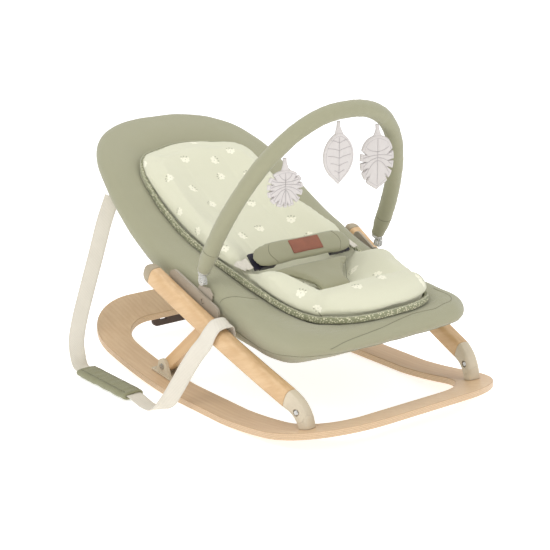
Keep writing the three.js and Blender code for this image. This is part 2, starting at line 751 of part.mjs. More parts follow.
function toyBar() {
  const points = archPoints(30, 0);
  const sleeve = loft([...barLoops(points, bar.sleeveRadius, 10),
    ...barLoops(points, bar.boreRadius, 10).reverse()], true);
  place('toy_bar_sleeve', sleeve, paints.sage);
  place('toy_bar_core', loft(barLoops(archPoints(32, 7), bar.coreRadius, 6)), paints.steel);
  const pivot = { x: bar.baseX - 1, z: bar.baseZ - 17 };
  const socketY = armInner(seat.pivot.x) - GAP - rail.thickness - 1.2 - 1.5;
  SIDES.forEach(([name, side]) => {
    const socket = plateXZ([[pivot.x - 7, pivot.z - 5.5], [pivot.x + 7, pivot.z - 6],
      ...arc(pivot.x, pivot.z, 7, 0, 180, 10)], 3);
    const boss = moved(rodY(3, 6), pivot.x, side * 3, pivot.z);
    place(`bar_socket_${name}`, join(socket, boss), paints.clearPlastic, 0, side * socketY, 0);
    const clipY = socketY + 1.5 + GAP + 2;
    const blade = plateXZ([...arc(pivot.x, pivot.z, 8, 190, 350, 10), [pivot.x + 8, pivot.z + 9.5],
      [pivot.x - 6, pivot.z + 12.5]], 4, [[pivot.x, pivot.z, 3.6]]);
    const foot = archPoint(0);
    const cup = new THREE.CylinderGeometry(9.5, 8.5, 6, 16);
    cup.translate(0, -3.6, 0);
    cup.rotateX(Math.PI / 2);
    cup.rotateY(barLean);
    cup.translate(foot.x, side * foot.y, foot.z);
    const hole = new THREE.CylinderGeometry(bar.boreRadius, bar.boreRadius, 20, 16);
    hole.rotateX(Math.PI / 2);
    hole.rotateY(barLean);
    hole.translate(foot.x, side * foot.y, foot.z);
    const body = cut(join(cup, moved(blade, 0, side * clipY, 0)), hole);
    place(`bar_clip_${name}`, body, paints.clearPlastic);
  });
}

// ---------------------------------------------------------------- hanging toys
function leafShape(width, height, lobes) {
  const shape = new THREE.Shape();
  const steps = 24;
  for (let i = 0; i < steps; i += 1) {
    const a = (2 * Math.PI * i) / steps;
    const ripple = 1 + 0.07 * Math.cos(lobes * a);
    const x = (width / 2) * Math.sin(a) * ripple * (1 - 0.22 * Math.cos(a));
    const y = (height / 2) * Math.cos(a) * ripple;
    if (i) shape.lineTo(x, y);
    else shape.moveTo(x, y);
  }
  return shape;
}

// neck: length of the fabric strip between the bar and the leaf
const toys = [
  { name: 'toy_palm_leaf', y: -107, width: 56, height: 57, neck: 21, lobes: 9, turn: -14 },
  { name: 'toy_plain_leaf', y: -18, width: 52, height: 79, neck: 17, lobes: 0, turn: -10 },
  { name: 'toy_monstera_leaf', y: 68, width: 60, height: 87, neck: 16, lobes: 7, turn: -12 },
];

const TOY_CLEARANCE = 4.4; // between the sleeve and the top of the neck

// The height of the sleeve's underside above the floor, and the x of its middle, at a given y.
function archAt(y) {
  let [low, high] = [0, Math.PI];
  for (let i = 0; i < 40; i += 1) {
    const middle = (low + high) / 2;
    if (archPoint(middle).y > y) low = middle;
    else high = middle;
  }
  return archPoint(low);
}

function hangingToys() {
  toys.forEach(({ name, y, width, height, neck, lobes, turn }) => {
    const hang = archAt(y);
    const [before, after] = [archAt(y - 2), archAt(y + 2)];
    const slope = Math.abs((after.z - before.z) / 4);
    const neckTop = -(bar.sleeveRadius * Math.hypot(1, slope) + 3.5 * slope + TOY_CLEARANCE);
    const settings = { depth: 6, bevelEnabled: false };
    const leaf = new THREE.ExtrudeGeometry(leafShape(width, height, lobes), settings);
    leaf.translate(0, neckTop - neck - height / 2 + 2, -3);
    const strip = new THREE.BoxGeometry(7, neck + 4, 2).translate(0, neckTop - neck / 2 - 2, 0);
    const toy = join(leaf, strip);
    toy.rotateX(Math.PI / 2);
    toy.rotateZ(Math.PI / 2 + THREE.MathUtils.degToRad(turn));
    place(name, toy, paints.toy, hang.x, y, hang.z);
  });
}

// ---------------------------------------------------------------- lap belt with its buckles, and crotch pad
const belt = {
  x: 46, // middle of the belt pad
  z: 238,
  halfLength: 94,
  height: 40,
  thickness: 13,
  tilt: 45, // degrees that its face leans back from upright
  webbingRise: 8.5, // webbing over the cushion where it comes out of its slot
};

const beltTilt = THREE.MathUtils.degToRad(belt.tilt);
const beltFace = v3(Math.cos(beltTilt), 0, Math.sin(beltTilt)); // out of the pad's front
const beltUp = v3(-Math.sin(beltTilt), 0, Math.cos(beltTilt));

// Loops of rounded flat sections along a route;
// stop: [point, width, thickness, width direction, face direction].
function flatLoops(stops, power, sides = 12) {
  return stops.map(([p, width, thickness, along, out]) => Array.from({ length: sides }, (_, j) => {
    const angle = (2 * Math.PI * (j + 0.5)) / sides;
    const [c, s] = [Math.cos(angle), Math.sin(angle)];
    return p.clone()
      .addScaledVector(along, (Math.sign(c) * Math.abs(c) ** power * width) / 2)
      .addScaledVector(out, (Math.sign(s) * Math.abs(s) ** power * thickness) / 2);
  }));
}

function beltPad() {
  const stops = [-1, -0.97, -0.85, -0.5, 0, 0.5, 0.85, 0.97, 1].map((t) => {
    const end = Math.sqrt(Math.max(0.06, 1 - Math.abs(t) ** 8));
    return [v3(belt.x - 8 * t * t, t * belt.halfLength, belt.z - 4 * t * t), belt.height * end,
      belt.thickness * end, beltUp, beltFace];
  });
  place('belt_pad', loft(flatLoops(stops, 0.6)), paints.sage);
  const label = new THREE.BoxGeometry(1.4, 54, 24);
  label.rotateY(-beltTilt);
  const out = beltFace.clone().multiplyScalar(belt.thickness / 2 + 1.4 / 2 + 0.5);
  place('belt_label', label, paints.leather, belt.x + out.x, -2, belt.z + out.z);
}

function crotchPad() {
  // x, z, width and slope in degrees, from the belt to between the legs
  const route = [
    [58, 216, 134, -28], [72, 210, 118, -24], [92, 203, 84, -20], [114, 195, 62, -22], [130, 187, 58, -30],
  ];
  const stops = route.map(([x, z, width, slope]) => {
    const turn = THREE.MathUtils.degToRad(slope);
    return [v3(x, 0, z), width, 11, v3(0, 1, 0), v3(-Math.sin(turn), 0, Math.cos(turn))];
  });
  place('crotch_pad', loft(flatLoops(stops, 0.6)), paints.sage);
}

// One side's buckle, tongue, release button and webbing, behind the pad's end.
function buckles() {
  SIDES.forEach(([name, side]) => {
    const back = beltFace.clone().multiplyScalar(-(belt.thickness / 2 + 6.5));
    const at = (y) => [belt.x - 6 + back.x, side * y, belt.z - 3 + back.z];
    const tilted = (w, h, d) => new THREE.BoxGeometry(d, w, h).rotateY(-beltTilt);
    const inward = beltFace.clone();
    const round = (radius, depth) => new THREE.CylinderGeometry(radius, radius, depth, 16)
      .rotateZ(Math.PI / 2)
      .rotateY(-beltTilt);
    const housing = cut(tilted(30, 30, 9), moved(tilted(20, 20, 4), 0, side * 6, 0),
      moved(round(5, 6), inward.x * 4.5, -side * 6, inward.z * 4.5));
    place(`buckle_${name}`, housing, paints.darkPlastic, ...at(74));
    const tongueBody = join(tilted(12, 19, 3), moved(tilted(9, 30, 5), 0, side * 9, 0));
    place(`buckle_tongue_${name}`, tongueBody, paints.darkPlastic, ...at(86));
    const [x, y, z] = at(68);
    const [bx, bz] = [x + inward.x * 4.4, z + inward.z * 4.4];
    place(`buckle_button_${name}`, round(4.4, 3.2), paints.darkPlastic, bx, y, bz);
    const [tx, , tz] = at(86);
    const slotTop = (wx, wy) => cushionHeight(wx, wy) + belt.webbingRise;
    const route = [
      [tx, 104, tz], [tx - 2, 110, tz - 3], [tx - 3, 117, slotTop(tx, 117)], [tx - 3, 121, slotTop(tx, 121)],
    ];
    const along = v3(1, 0, -0.3);
    const stops = webbingLoops(route.map(([wx, wy, wz]) => (
      [v3(wx, side * wy, Math.max(wz, slotTop(wx, wy))), along])));
    place(`belt_webbing_${name}`, loft(flatLoops(stops, 0.4, 8)), paints.webbing);
  });
}

// ---------------------------------------------------------------- carry strap
// One webbing from the seat's side, over the right arm, along the floor and up to the side of the headrest.
const grip = {
  rearX: -216, frontX: -66, y: -269, z: 8.8, width: 40, thickness: 15.5, bore: 30, boreHeight: 5.4,
};
const armTopTurn = v3(0.93, 0, -0.37); // the webbing's width follows the arm's slope
const hanging = v3(0.62, 0.78, 0);
const acrossFloor = v3(0, 1, 0);
const carryRoute = [
  [v3(84, -181.8, 136), armTopTurn],
  [v3(84, -182, 146), armTopTurn],
  [v3(84, -185, 154.5), armTopTurn],
  [v3(83, -197, 156.5), armTopTurn],
  [v3(82, -209, 154), armTopTurn],
  [v3(78, -215.5, 144), v3(0.94, 0.1, -0.3)],
  [v3(68, -220, 124), v3(0.9, 0.35, -0.15)],
  [v3(54, -227, 103), v3(0.82, 0.57, 0)],
  [v3(41, -236, 77), v3(0.77, 0.64, 0)],
  [v3(29, -247, 47), v3(0.72, 0.7, 0)],
  [v3(18, -259, 20), v3(0.6, 0.8, 0)],
  [v3(0, -267, 4.6), v3(0.25, 0.97, 0)],
  [v3(-24, grip.y, 3), acrossFloor],
  [v3(-44, grip.y, 6), acrossFloor],
  [v3(-58, grip.y, grip.z), acrossFloor],
  [v3(-144, grip.y, grip.z), acrossFloor],
  [v3(-216, grip.y, grip.z), acrossFloor],
  [v3(-229, -271, 13), v3(0.15, 0.99, 0)],
  [v3(-240, -270, 32), v3(0.4, 0.92, 0)],
  [v3(-252, -264, 52), v3(0.55, 0.83, 0)],
  [v3(-262, -251, 82), hanging],
  [v3(-272, -229, 128), hanging],
  [v3(-277, -205, 187), hanging],
  [v3(-279, -184, 245), hanging],
  [v3(-278, -168, 283), hanging],
];

// Loops of webbing along a route of points, each with the direction of its width there.
function webbingLoops(route) {
  return route.map(([p, width], i) => {
    const before = route[Math.max(0, i - 1)][0];
    const after = route[Math.min(route.length - 1, i + 1)][0];
    const tangent = after.clone().sub(before).normalize();
    const along = width.clone().addScaledVector(tangent, -width.dot(tangent)).normalize();
    return [p, strap.width, strap.thickness, along, tangent.clone().cross(along)];
  });
}

// The route with points added on smooth curves between its own.
function fineRoute(route, count) {
  const path = new THREE.CatmullRomCurve3(route.map(([p]) => p), false, 'centripetal');
  const widths = new THREE.CatmullRomCurve3(route.map(([, w]) => w), false, 'centripetal');
  return Array.from({ length: count + 1 }, (_, i) => [path.getPoint(i / count), widths.getPoint(i / count)]);
}

function carryStrap() {
  place('carry_strap', loft(flatLoops(webbingLoops(fineRoute(carryRoute, 46)), 0.4, 8)), paints.webbing);
  const stops = (width, thickness, swell) => [0, 0.06, 0.2, 0.8, 0.94, 1].map((t, i) => [
    v3(grip.rearX + (grip.frontX - grip.rearX) * t, grip.y, grip.z), width, thickness * (i % 5 ? 1 : swell),
    acrossFloor, v3(0, 0, 1),
  ]);
  const outer = flatLoops(stops(grip.width, grip.thickness, 0.75), 0.6);
  const bore = flatLoops(stops(grip.bore, grip.boreHeight, 1), 0.4);
  place('strap_grip', loft([...outer, ...bore.reverse()], true), paints.sage);
}

rockerBase();
elbows();
arms();
legs();
rockingStop();
seatShells();
seatFrame();
babyCushion();
reclineRails();
toyBar();
hangingToys();
beltPad();
crotchPad();
buckles();
carryStrap();

export default bouncer;
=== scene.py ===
"""Looks of the folding baby bouncer seat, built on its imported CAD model.

Metres, +Z up, +X to the baby's feet, +Y to the baby's left. Shape helpers take design millimetres, whose x
starts at the rocker's middle, and row() turns them into the frame's metres.
"""

import math

import bmesh
import bpy
import numpy as np
from mathutils import Matrix, Vector, noise

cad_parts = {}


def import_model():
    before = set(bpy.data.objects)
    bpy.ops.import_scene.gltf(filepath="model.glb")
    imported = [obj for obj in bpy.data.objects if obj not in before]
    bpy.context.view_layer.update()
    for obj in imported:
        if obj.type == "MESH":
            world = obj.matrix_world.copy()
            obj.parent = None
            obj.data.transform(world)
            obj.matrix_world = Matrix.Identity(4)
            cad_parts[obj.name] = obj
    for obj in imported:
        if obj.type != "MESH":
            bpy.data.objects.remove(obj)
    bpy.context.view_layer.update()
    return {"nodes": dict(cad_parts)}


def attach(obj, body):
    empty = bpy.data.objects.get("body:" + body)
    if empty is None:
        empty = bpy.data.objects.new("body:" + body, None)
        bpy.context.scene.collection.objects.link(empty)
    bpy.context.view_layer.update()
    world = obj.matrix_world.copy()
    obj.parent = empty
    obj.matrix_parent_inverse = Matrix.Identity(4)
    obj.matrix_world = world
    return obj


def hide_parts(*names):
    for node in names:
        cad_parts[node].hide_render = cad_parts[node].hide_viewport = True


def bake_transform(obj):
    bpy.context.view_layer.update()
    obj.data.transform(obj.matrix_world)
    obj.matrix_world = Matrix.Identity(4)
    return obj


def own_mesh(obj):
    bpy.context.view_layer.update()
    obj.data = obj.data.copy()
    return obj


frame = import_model()
scene = bpy.context.scene
ORIGIN_SHIFT = 29.0
SIDES = (("left", 1), ("right", -1))


def row(p):
    """Design millimetres to the frame's metres, for one point or an array of points."""
    p = np.asarray(p, float)
    return (p + np.array([ORIGIN_SHIFT, 0.0, 0.0])) / 1000.0


def design(p):
    """The frame's metres to design millimetres."""
    return np.asarray(p, float) * 1000 - np.array([ORIGIN_SHIFT, 0.0, 0.0])


# ---------------------------------------------------------------- camera, light and floor
CAMERA_AZIMUTH = 52.06
CAMERA_ELEVATION = 16.5
CAMERA_DISTANCE = 2.6278
CAMERA_TARGET = Vector((-0.0056, 0.0, 0.1718))
CAMERA_LENS = 101.5
SENSOR_WIDTH = 36
LIGHT_TARGET = Vector((0, 0, 0.15))
LIGHTS = (  # name, place, size and power
    ("key", (0.6, -1.6, 2.2), 1.6, 21),
    ("fill", (2.2, 0.6, 1.4), 1.8, 9),
    ("top", (-0.6, 0.5, 2.6), 1.8, 13),
)
WHITE = (1.0, 1.0, 1.0, 1)
WORLD_STRENGTH = 0.78
FLOOR_SIZE = 30.0
FLOOR_DROP = 0.0004
FLOOR_GREY = (0.8, 0.8, 0.8)
FLOOR_GLOW = 0.62


def direction(azimuth, elevation):
    a, e = math.radians(azimuth), math.radians(elevation)
    return Vector((math.cos(e) * math.sin(a), -math.cos(e) * math.cos(a), math.sin(e)))


def facing(obj, place, target):
    back = (place - target).normalized()
    right = Vector((0, 0, 1)).cross(back).normalized()
    up = back.cross(right)
    turn = Matrix((right, up, back)).transposed().to_4x4()
    obj.matrix_world = Matrix.Translation(place) @ turn


def make_camera():
    data = bpy.data.cameras.new("camera")
    data.lens = CAMERA_LENS
    data.sensor_width = SENSOR_WIDTH
    camera = bpy.data.objects.new("camera", data)
    scene.collection.objects.link(camera)
    place = CAMERA_TARGET + CAMERA_DISTANCE * direction(CAMERA_AZIMUTH, CAMERA_ELEVATION)
    facing(camera, place, CAMERA_TARGET)
    scene.camera = camera


def area_light(name, place, size, power):
    data = bpy.data.lights.new(name, "AREA")
    data.shape = "DISK"
    data.size = size
    data.energy = power
    light = bpy.data.objects.new(name, data)
    scene.collection.objects.link(light)
    facing(light, Vector(place), LIGHT_TARGET)


def make_studio():
    world = bpy.data.worlds.new("studio")
    world.use_nodes = True
    background = world.node_tree.nodes["Background"]
    background.inputs["Color"].default_value = WHITE
    background.inputs["Strength"].default_value = WORLD_STRENGTH
    scene.world = world
    scene.view_settings.view_transform = "Standard"
    for light in LIGHTS:
        area_light(*light)
    mesh = bpy.data.meshes.new("floor")
    corners = [(x * FLOOR_SIZE, y * FLOOR_SIZE, 0) for x, y in ((-1, -1), (1, -1), (1, 1), (-1, 1))]
    mesh.from_pydata(corners, [], [(0, 1, 2, 3)])
    floor = bpy.data.objects.new("floor", mesh)
    scene.collection.objects.link(floor)
    paint = Paint("floor")
    paint.base(FLOOR_GREY, 0.9)
    paint.shader.inputs["Emission Color"].default_value = WHITE
    paint.shader.inputs["Emission Strength"].default_value = FLOOR_GLOW
    floor.data.materials.append(paint.material)
    floor.location.z = -FLOOR_DROP


# ---------------------------------------------------------------- materials
class Paint:
    """A node material that is built up step by step."""

    def __init__(self, name):
        self.material = bpy.data.materials.new(name)
        self.material.use_nodes = True
        self.tree = self.material.node_tree
        self.shader = self.tree.nodes["Principled BSDF"]
        self.heights = []

    def node(self, kind, sockets=None, **values):
        """A new node with its settings, then its named sockets set or linked."""
        made = self.tree.nodes.new(kind)
        for key, value in values.items():
            setattr(made, key, value)
        for key, value in (sockets or {}).items():
            self.feed(made.inputs[key], value)
        return made

    def tint(self):
        """What feeds the base colour so far."""
        return self.shader.inputs["Base Color"].links[0].from_socket

    def link(self, out, into):
        self.tree.links.new(out, into)

    def feed(self, socket, value):
        if isinstance(value, bpy.types.NodeSocket):
            self.link(value, socket)
        else:
            socket.default_value = value

    def base(self, color, roughness, sheen=0.0, metallic=0.0):
        if not isinstance(color, bpy.types.NodeSocket):
            color = (*color, 1)
        self.feed(self.shader.inputs["Base Color"], color)
        self.feed(self.shader.inputs["Roughness"], roughness)
        self.shader.inputs["Sheen Weight"].default_value = sheen
        self.shader.inputs["Sheen Roughness"].default_value = 0.5
        self.shader.inputs["Metallic"].default_value = metallic
        return self

    def place(self, scale=(1, 1, 1), turn=(0, 0, 0), attribute=None):
        """Texture coordinates: the object's, or an attribute's, turned and then scaled."""
        if attribute:
            source = self.node("ShaderNodeAttribute", attribute_name=attribute).outputs["Vector"]
        else:
            source = self.node("ShaderNodeTexCoord").outputs["Object"]
        if any(turn):
            sockets = {"Rotation": turn, "Vector": source}
            source = self.node("ShaderNodeVectorRotate", sockets, rotation_type="EULER_XYZ").outputs["Vector"]
        return self.node("ShaderNodeMapping", {"Scale": scale, "Vector": source}).outputs["Vector"]

    def noise(self, vector, scale, detail=3.0, roughness=0.55):
        sockets = {"Scale": scale, "Detail": detail, "Roughness": roughness, "Vector": vector}
        return self.node("ShaderNodeTexNoise", sockets).outputs["Fac"]

    def wave(self, vector, scale, axis="X", distortion=0.0):
        sockets = {"Scale": scale, "Distortion": distortion, "Vector": vector}
        return self.node("ShaderNodeTexWave", sockets, wave_type="BANDS", bands_direction=axis).outputs["Fac"]

    def cells(self, vector, scale, **values):
        return self.node("ShaderNodeTexVoronoi", {"Scale": scale, "Vector": vector}, feature="F1", **values)

    def math(self, operation, a, b=None):
        made = self.node("ShaderNodeMath", operation=operation)
        self.feed(made.inputs[0], a)
        if b is not None:
            self.feed(made.inputs[1], b)
        return made.outputs[0]

    def vector(self, operation, a, b=None):
        made = self.node("ShaderNodeVectorMath", operation=operation)
        self.feed(made.inputs[0], a)
        if b is not None:
            self.feed(made.inputs[1], b)
        return made.outputs["Value" if operation in ("LENGTH", "DISTANCE", "DOT_PRODUCT") else "Vector"]

    def step(self, value, low, high, start=0.0, end=1.0):
        sockets = {"Value": value, "From Min": low, "From Max": high, "To Min": start, "To Max": end}
        return self.node("ShaderNodeMapRange", sockets, interpolation_type="SMOOTHSTEP").outputs["Result"]

    def mix(self, factor, a, b):
        made = self.node("ShaderNodeMix", data_type="RGBA")
        self.feed(made.inputs["Factor"], factor)
        for socket, value in ((made.inputs[6], a), (made.inputs[7], b)):
            self.feed(socket, value if isinstance(value, bpy.types.NodeSocket) else (*value, 1))
        return made.outputs[2]

    def bump(self, height, distance, strength=1.0):
        made = self.node("ShaderNodeBump", {"Distance": distance, "Strength": strength, "Height": height})
        if self.heights:
            self.link(self.heights[-1], made.inputs["Normal"])
        self.heights.append(made.outputs["Normal"])
        for socket in self.shader.inputs["Normal"].links:
            self.tree.links.remove(socket)
        self.link(made.outputs["Normal"], self.shader.inputs["Normal"])


def shade(color, factor):
    return tuple(min(1.0, c * factor) for c in color)


def srgb(r, g, b):
    """A display colour, 0 to 255, as linear light."""
    return tuple(((c / 255 + 0.055) / 1.055) ** 2.4 if c > 10.3 else c / 255 / 12.92 for c in (r, g, b))


CLOTH_ROUGHNESS = 0.88
THREAD_DEPTH = 0.00012
WOOD_ROUGHNESS = 0.42
GRIT_DEPTH = 0.00006


def woven(name, color, thread=0.0009, mottle=0.06, sheen=0.25):
    """Plain-woven cloth: crossed threads, soft colour variation and a little sheen."""
    paint = Paint(name)
    place = paint.place()
    scale = 2 * math.pi / (20 * thread)
    warp = paint.wave(place, scale, "X", 0.4)
    weft = paint.wave(place, scale, "Y", 0.4)
    rise = paint.wave(place, scale, "Z", 0.4)
    threads = paint.math("MULTIPLY", paint.math("ADD", warp, weft), paint.math("ADD", rise, 0.6))
    patch = paint.noise(place, 9.0, 4.0)
    fibre = paint.noise(place, 900.0, 2.0)
    tone = paint.mix(paint.step(patch, 0.3, 0.7), shade(color, 1 - mottle), shade(color, 1 + mottle))
    tone = paint.mix(paint.math("MULTIPLY", paint.step(threads, 0.3, 1.6), 0.16), shade(color, 0.9), tone)
    worn = paint.mix(paint.step(fibre, 0.55, 0.8, 0.0, 0.12), tone, shade(color, 1.25))
    paint.base(worn, paint.step(patch, 0.2, 0.8, CLOTH_ROUGHNESS - 0.05, CLOTH_ROUGHNESS + 0.05), sheen)
    paint.bump(paint.noise(place, 38.0, 3.0), 0.0012, 0.35)
    paint.bump(threads, THREAD_DEPTH, 0.6)
    return paint


def timber(name, light, dark, turn=(0, 0, 0)):
    """Lacquered wood with its grain along the mapping's X."""
    paint = Paint(name)
    along = paint.place((0.9, 46, 46), turn)
    fine = paint.place((6, 260, 260), turn)
    figure = paint.noise(along, 2.2, 5.0, 0.6)
    bands = paint.wave(along, 0.8, "Y", 2.2)
    pores = paint.noise(fine, 1.6, 3.0, 0.7)
    grain = paint.math("ADD", paint.math("MULTIPLY", figure, 0.86), paint.math("MULTIPLY", bands, 0.14))
    tone = paint.mix(paint.step(grain, 0.3, 0.72), dark, light)
    tone = paint.mix(paint.step(pores, 0.56, 0.72, 0.0, 0.35), tone, shade(dark, 0.86))
    paint.base(tone, paint.step(pores, 0.3, 0.8, WOOD_ROUGHNESS, WOOD_ROUGHNESS + 0.14))
    paint.shader.inputs["Coat Weight"].default_value = 0.12
    paint.shader.inputs["Coat Roughness"].default_value = 0.35
    paint.bump(pores, 0.0002, 0.35)
    return paint


def plywood(light, dark):
    """The bent ring: veneer on its faces and glued plies on its edge, by the ply and edge attributes."""
    paint = timber("plywood", light, dark)
    face = paint.tint()
    plies = 9
    height = paint.node("ShaderNodeAttribute", attribute_name="ply").outputs["Fac"]
    edge = paint.node("ShaderNodeAttribute", attribute_name="edge").outputs["Fac"]
    along = paint.noise(paint.place((14, 14, 700)), 1.5, 2.0)
    wander = paint.math("ADD", height, paint.math("MULTIPLY", paint.math("SUBTRACT", along, 0.5), 0.05))
    wave = paint.math("SINE", paint.math("MULTIPLY", wander, math.pi * plies))
    stripe = paint.step(paint.math("ABSOLUTE", wave), 0.15, 0.6)
    alternate = paint.step(wave, -0.2, 0.2)
    layers = paint.mix(alternate, shade(light, 1.04), shade(dark, 0.92))
    layers = paint.mix(stripe, shade(dark, 0.6), layers)
    fleck = paint.noise(paint.place((60, 60, 900)), 1.6, 2.0)
    layers = paint.mix(paint.step(fleck, 0.5, 0.75, 0.0, 0.3), layers, shade(dark, 0.8))
    tone = paint.mix(paint.step(edge, 0.35, 0.65), face, layers)
    paint.feed(paint.shader.inputs["Base Color"], tone)
    return paint


def moulded(name, color, roughness=0.5):
    """Moulded plastic: fine spark-eroded texture with slight tone and gloss variation, and a painted highlight that
    lightens convex edges.
    """
    paint = Paint(name)
    place = paint.place()
    grit = paint.noise(place, 1500.0, 2.0)
    patch = paint.noise(place, 22.0, 3.0)
    tone = paint.mix(paint.step(patch, 0.3, 0.7), shade(color, 0.95), shade(color, 1.04))
    # Painted highlight: convex edges, found by pointiness, are lightened towards a brighter copy of the colour.
    edge_highlight = paint.node("ShaderNodeNewGeometry").outputs["Pointiness"]
    tone = paint.mix(paint.step(edge_highlight, 0.53, 0.62, 0.0, 0.25), tone, shade(color, 1.3))
    paint.base(tone, paint.step(grit, 0.3, 0.7, roughness - 0.06, roughness + 0.08))
    paint.bump(grit, GRIT_DEPTH, 0.5)
    return paint


def metal(name, color, roughness=0.3):
    paint = Paint(name)
    place = paint.place((1, 12, 1))
    scratch = paint.noise(place, 400.0, 3.0)
    tone = paint.mix(paint.step(scratch, 0.4, 0.7), shade(color, 0.85), color)
    paint.base(tone, paint.step(scratch, 0.3, 0.7, roughness - 0.08, roughness + 0.12), 0, 1.0)
    paint.bump(scratch, 0.00003, 0.4)
    return paint


SAGE = srgb(162, 160, 132)
SAGE_DARK = srgb(126, 125, 99)
CREAM = srgb(222, 221, 196)
OLIVE = srgb(142, 144, 112)
GREIGE = srgb(220, 214, 200)
LILAC = srgb(216, 210, 207)
STITCH = srgb(172, 166, 166)


def printed_cotton():
    """Cream cotton with small pale blossoms and dark dots, scattered on a loose grid of the print attribute."""
    paint = woven("cream_print", CREAM, thread=0.0007, mottle=0.03, sheen=0.2)
    ground = paint.tint()
    spacing = 0.063
    flat = paint.place(attribute="print")
    spots = paint.cells(flat, 1 / spacing, voronoi_dimensions="2D")
    spots.inputs["Randomness"].default_value = 0.5
    centre = paint.vector("SCALE", spots.outputs["Position"])
    centre.node.inputs["Scale"].default_value = 1.0
    local = paint.vector("SUBTRACT", flat, centre)
    rotate = paint.node("ShaderNodeVectorRotate", rotation_type="Z_AXIS")
    paint.link(local, rotate.inputs["Vector"])
    hue = paint.node("ShaderNodeSeparateColor")
    paint.link(spots.outputs["Color"], hue.inputs["Color"])
    paint.link(paint.math("MULTIPLY", hue.outputs[0], 3.0), rotate.inputs["Angle"])
    turned = rotate.outputs["Vector"]

    def blob(places, soft):
        mask = None
        for x, y, radius in places:
            away = paint.vector("DISTANCE", turned, (x / 1000, y / 1000, 0))
            spot = paint.step(away, (radius - soft) / 1000, (radius + soft) / 1000, 1.0, 0.0)
            mask = spot if mask is None else paint.math("MAXIMUM", mask, spot)
        return mask

    petals = blob(
        [(0, 1, 4.4), (-4.5, 3, 3.0), (4.3, 3.6, 3.2), (-1, 6.4, 2.6), (6.6, -1.2, 2.2), (-6.4, -1.8, 2.0)], 0.6
    )
    dots = blob([(-4.2, -5.2, 1.25), (1.2, -6.4, 1.35), (6.2, -5.4, 1.2), (0.4, 1.8, 0.8)], 0.35)
    stalk = blob([(-1.6, -3.4, 0.7), (0.6, -4.2, 0.7), (3.4, -3.6, 0.7)], 0.3)
    tone = paint.mix(paint.math("MULTIPLY", petals, 0.7), ground, srgb(247, 244, 224))
    tone = paint.mix(paint.math("MULTIPLY", stalk, 0.35), tone, srgb(178, 176, 138))
    tone = paint.mix(paint.math("MULTIPLY", dots, 0.7), tone, srgb(128, 122, 96))
    paint.feed(paint.shader.inputs["Base Color"], tone)
    return paint


def speckled_cotton():
    """Olive cotton with small cream flecks: the cushion's underside, which shows at its edge."""
    paint = woven("olive_print", OLIVE, thread=0.0007, mottle=0.06)
    ground = paint.tint()
    cells = paint.cells(paint.place((1, 1, 1.4)), 260.0)
    fleck = paint.step(cells.outputs["Distance"], 0.34, 0.46, 1.0, 0.0)
    tone = paint.mix(paint.math("MULTIPLY", fleck, 0.8), ground, srgb(226, 222, 190))
    paint.feed(paint.shader.inputs["Base Color"], tone)
    return paint


def webbing_weave():
    """Flat polyester webbing with a herringbone of slanted ribs, by its own strip coordinates."""
    paint = Paint("webbing")
    strip = paint.place(attribute="strip")
    ribs = paint.wave(paint.place((1, 1, 1), (0, 0, 0.7), "strip"), 2 * math.pi / (20 * 0.0022), "X", 0.2)
    selvedge = paint.node("ShaderNodeAttribute", attribute_name="selvedge").outputs["Fac"]
    patch = paint.noise(strip, 30.0, 3.0)
    tone = paint.mix(paint.step(ribs, 0.2, 0.8), shade(GREIGE, 0.86), GREIGE)
    tone = paint.mix(paint.step(patch, 0.3, 0.7, 0.0, 0.3), tone, shade(GREIGE, 1.06))
    tone = paint.mix(paint.step(selvedge, 0.72, 0.86, 0.0, 0.35), tone, shade(GREIGE, 0.78))
    paint.base(tone, 0.82, 0.2)
    paint.bump(ribs, 0.00025, 0.7)
    return paint


def leather():
    color = srgb(142, 88, 68)
    paint = Paint("leather")
    place = paint.place()
    cells = paint.cells(place, 1100.0)
    patch = paint.noise(place, 60.0, 3.0)
    tone = paint.mix(paint.step(patch, 0.3, 0.7), shade(color, 0.9), shade(color, 1.08))
    paint.base(tone, paint.step(patch, 0.3, 0.7, 0.48, 0.62))
    paint.bump(cells.outputs["Distance"], 0.00015, 0.6)
    return paint


def clear_plastic():
    paint = moulded("clear_plastic", srgb(226, 226, 222), 0.22)
    paint.shader.inputs["Transmission Weight"].default_value = 0.55
    paint.shader.inputs["IOR"].default_value = 1.49
    return paint


# ---------------------------------------------------------------- mesh helpers
WELD = 0.00002


def repair(mesh, weld=False, dissolve=False, normals=True):
    """Joins doubled points, dissolves flat faces and turns the faces outwards, as asked."""
    work = bmesh.new()
    work.from_mesh(mesh)
    if weld:
        bmesh.ops.remove_doubles(work, verts=work.verts, dist=WELD)
    if dissolve:
        bmesh.ops.dissolve_degenerate(work, edges=work.edges, dist=WELD)
    if normals:
        bmesh.ops.recalc_face_normals(work, faces=work.faces)
    work.to_mesh(mesh)
    work.free()


def shade_smooth(mesh):
    mesh.polygons.foreach_set("use_smooth", [True] * len(mesh.polygons))


def mesh_object(name, points, faces, paint):
    """points in row metres."""
    mesh = bpy.data.meshes.new(name)
    mesh.from_pydata([tuple(map(float, p)) for p in points], [], [tuple(map(int, f)) for f in faces])
    mesh.validate()
    obj = bpy.data.objects.new(name, mesh)
    scene.collection.objects.link(obj)
    if paint:
        mesh.materials.append(paint.material)
    shade_smooth(mesh)
    repair(mesh)
    return obj


def attribute(obj, name, values, kind="FLOAT"):
    layer = obj.data.attributes.new(name, kind, "POINT")
    key = "value" if kind == "FLOAT" else "vector"
    layer.data.foreach_set(key, np.asarray(values, np.float32).ravel())


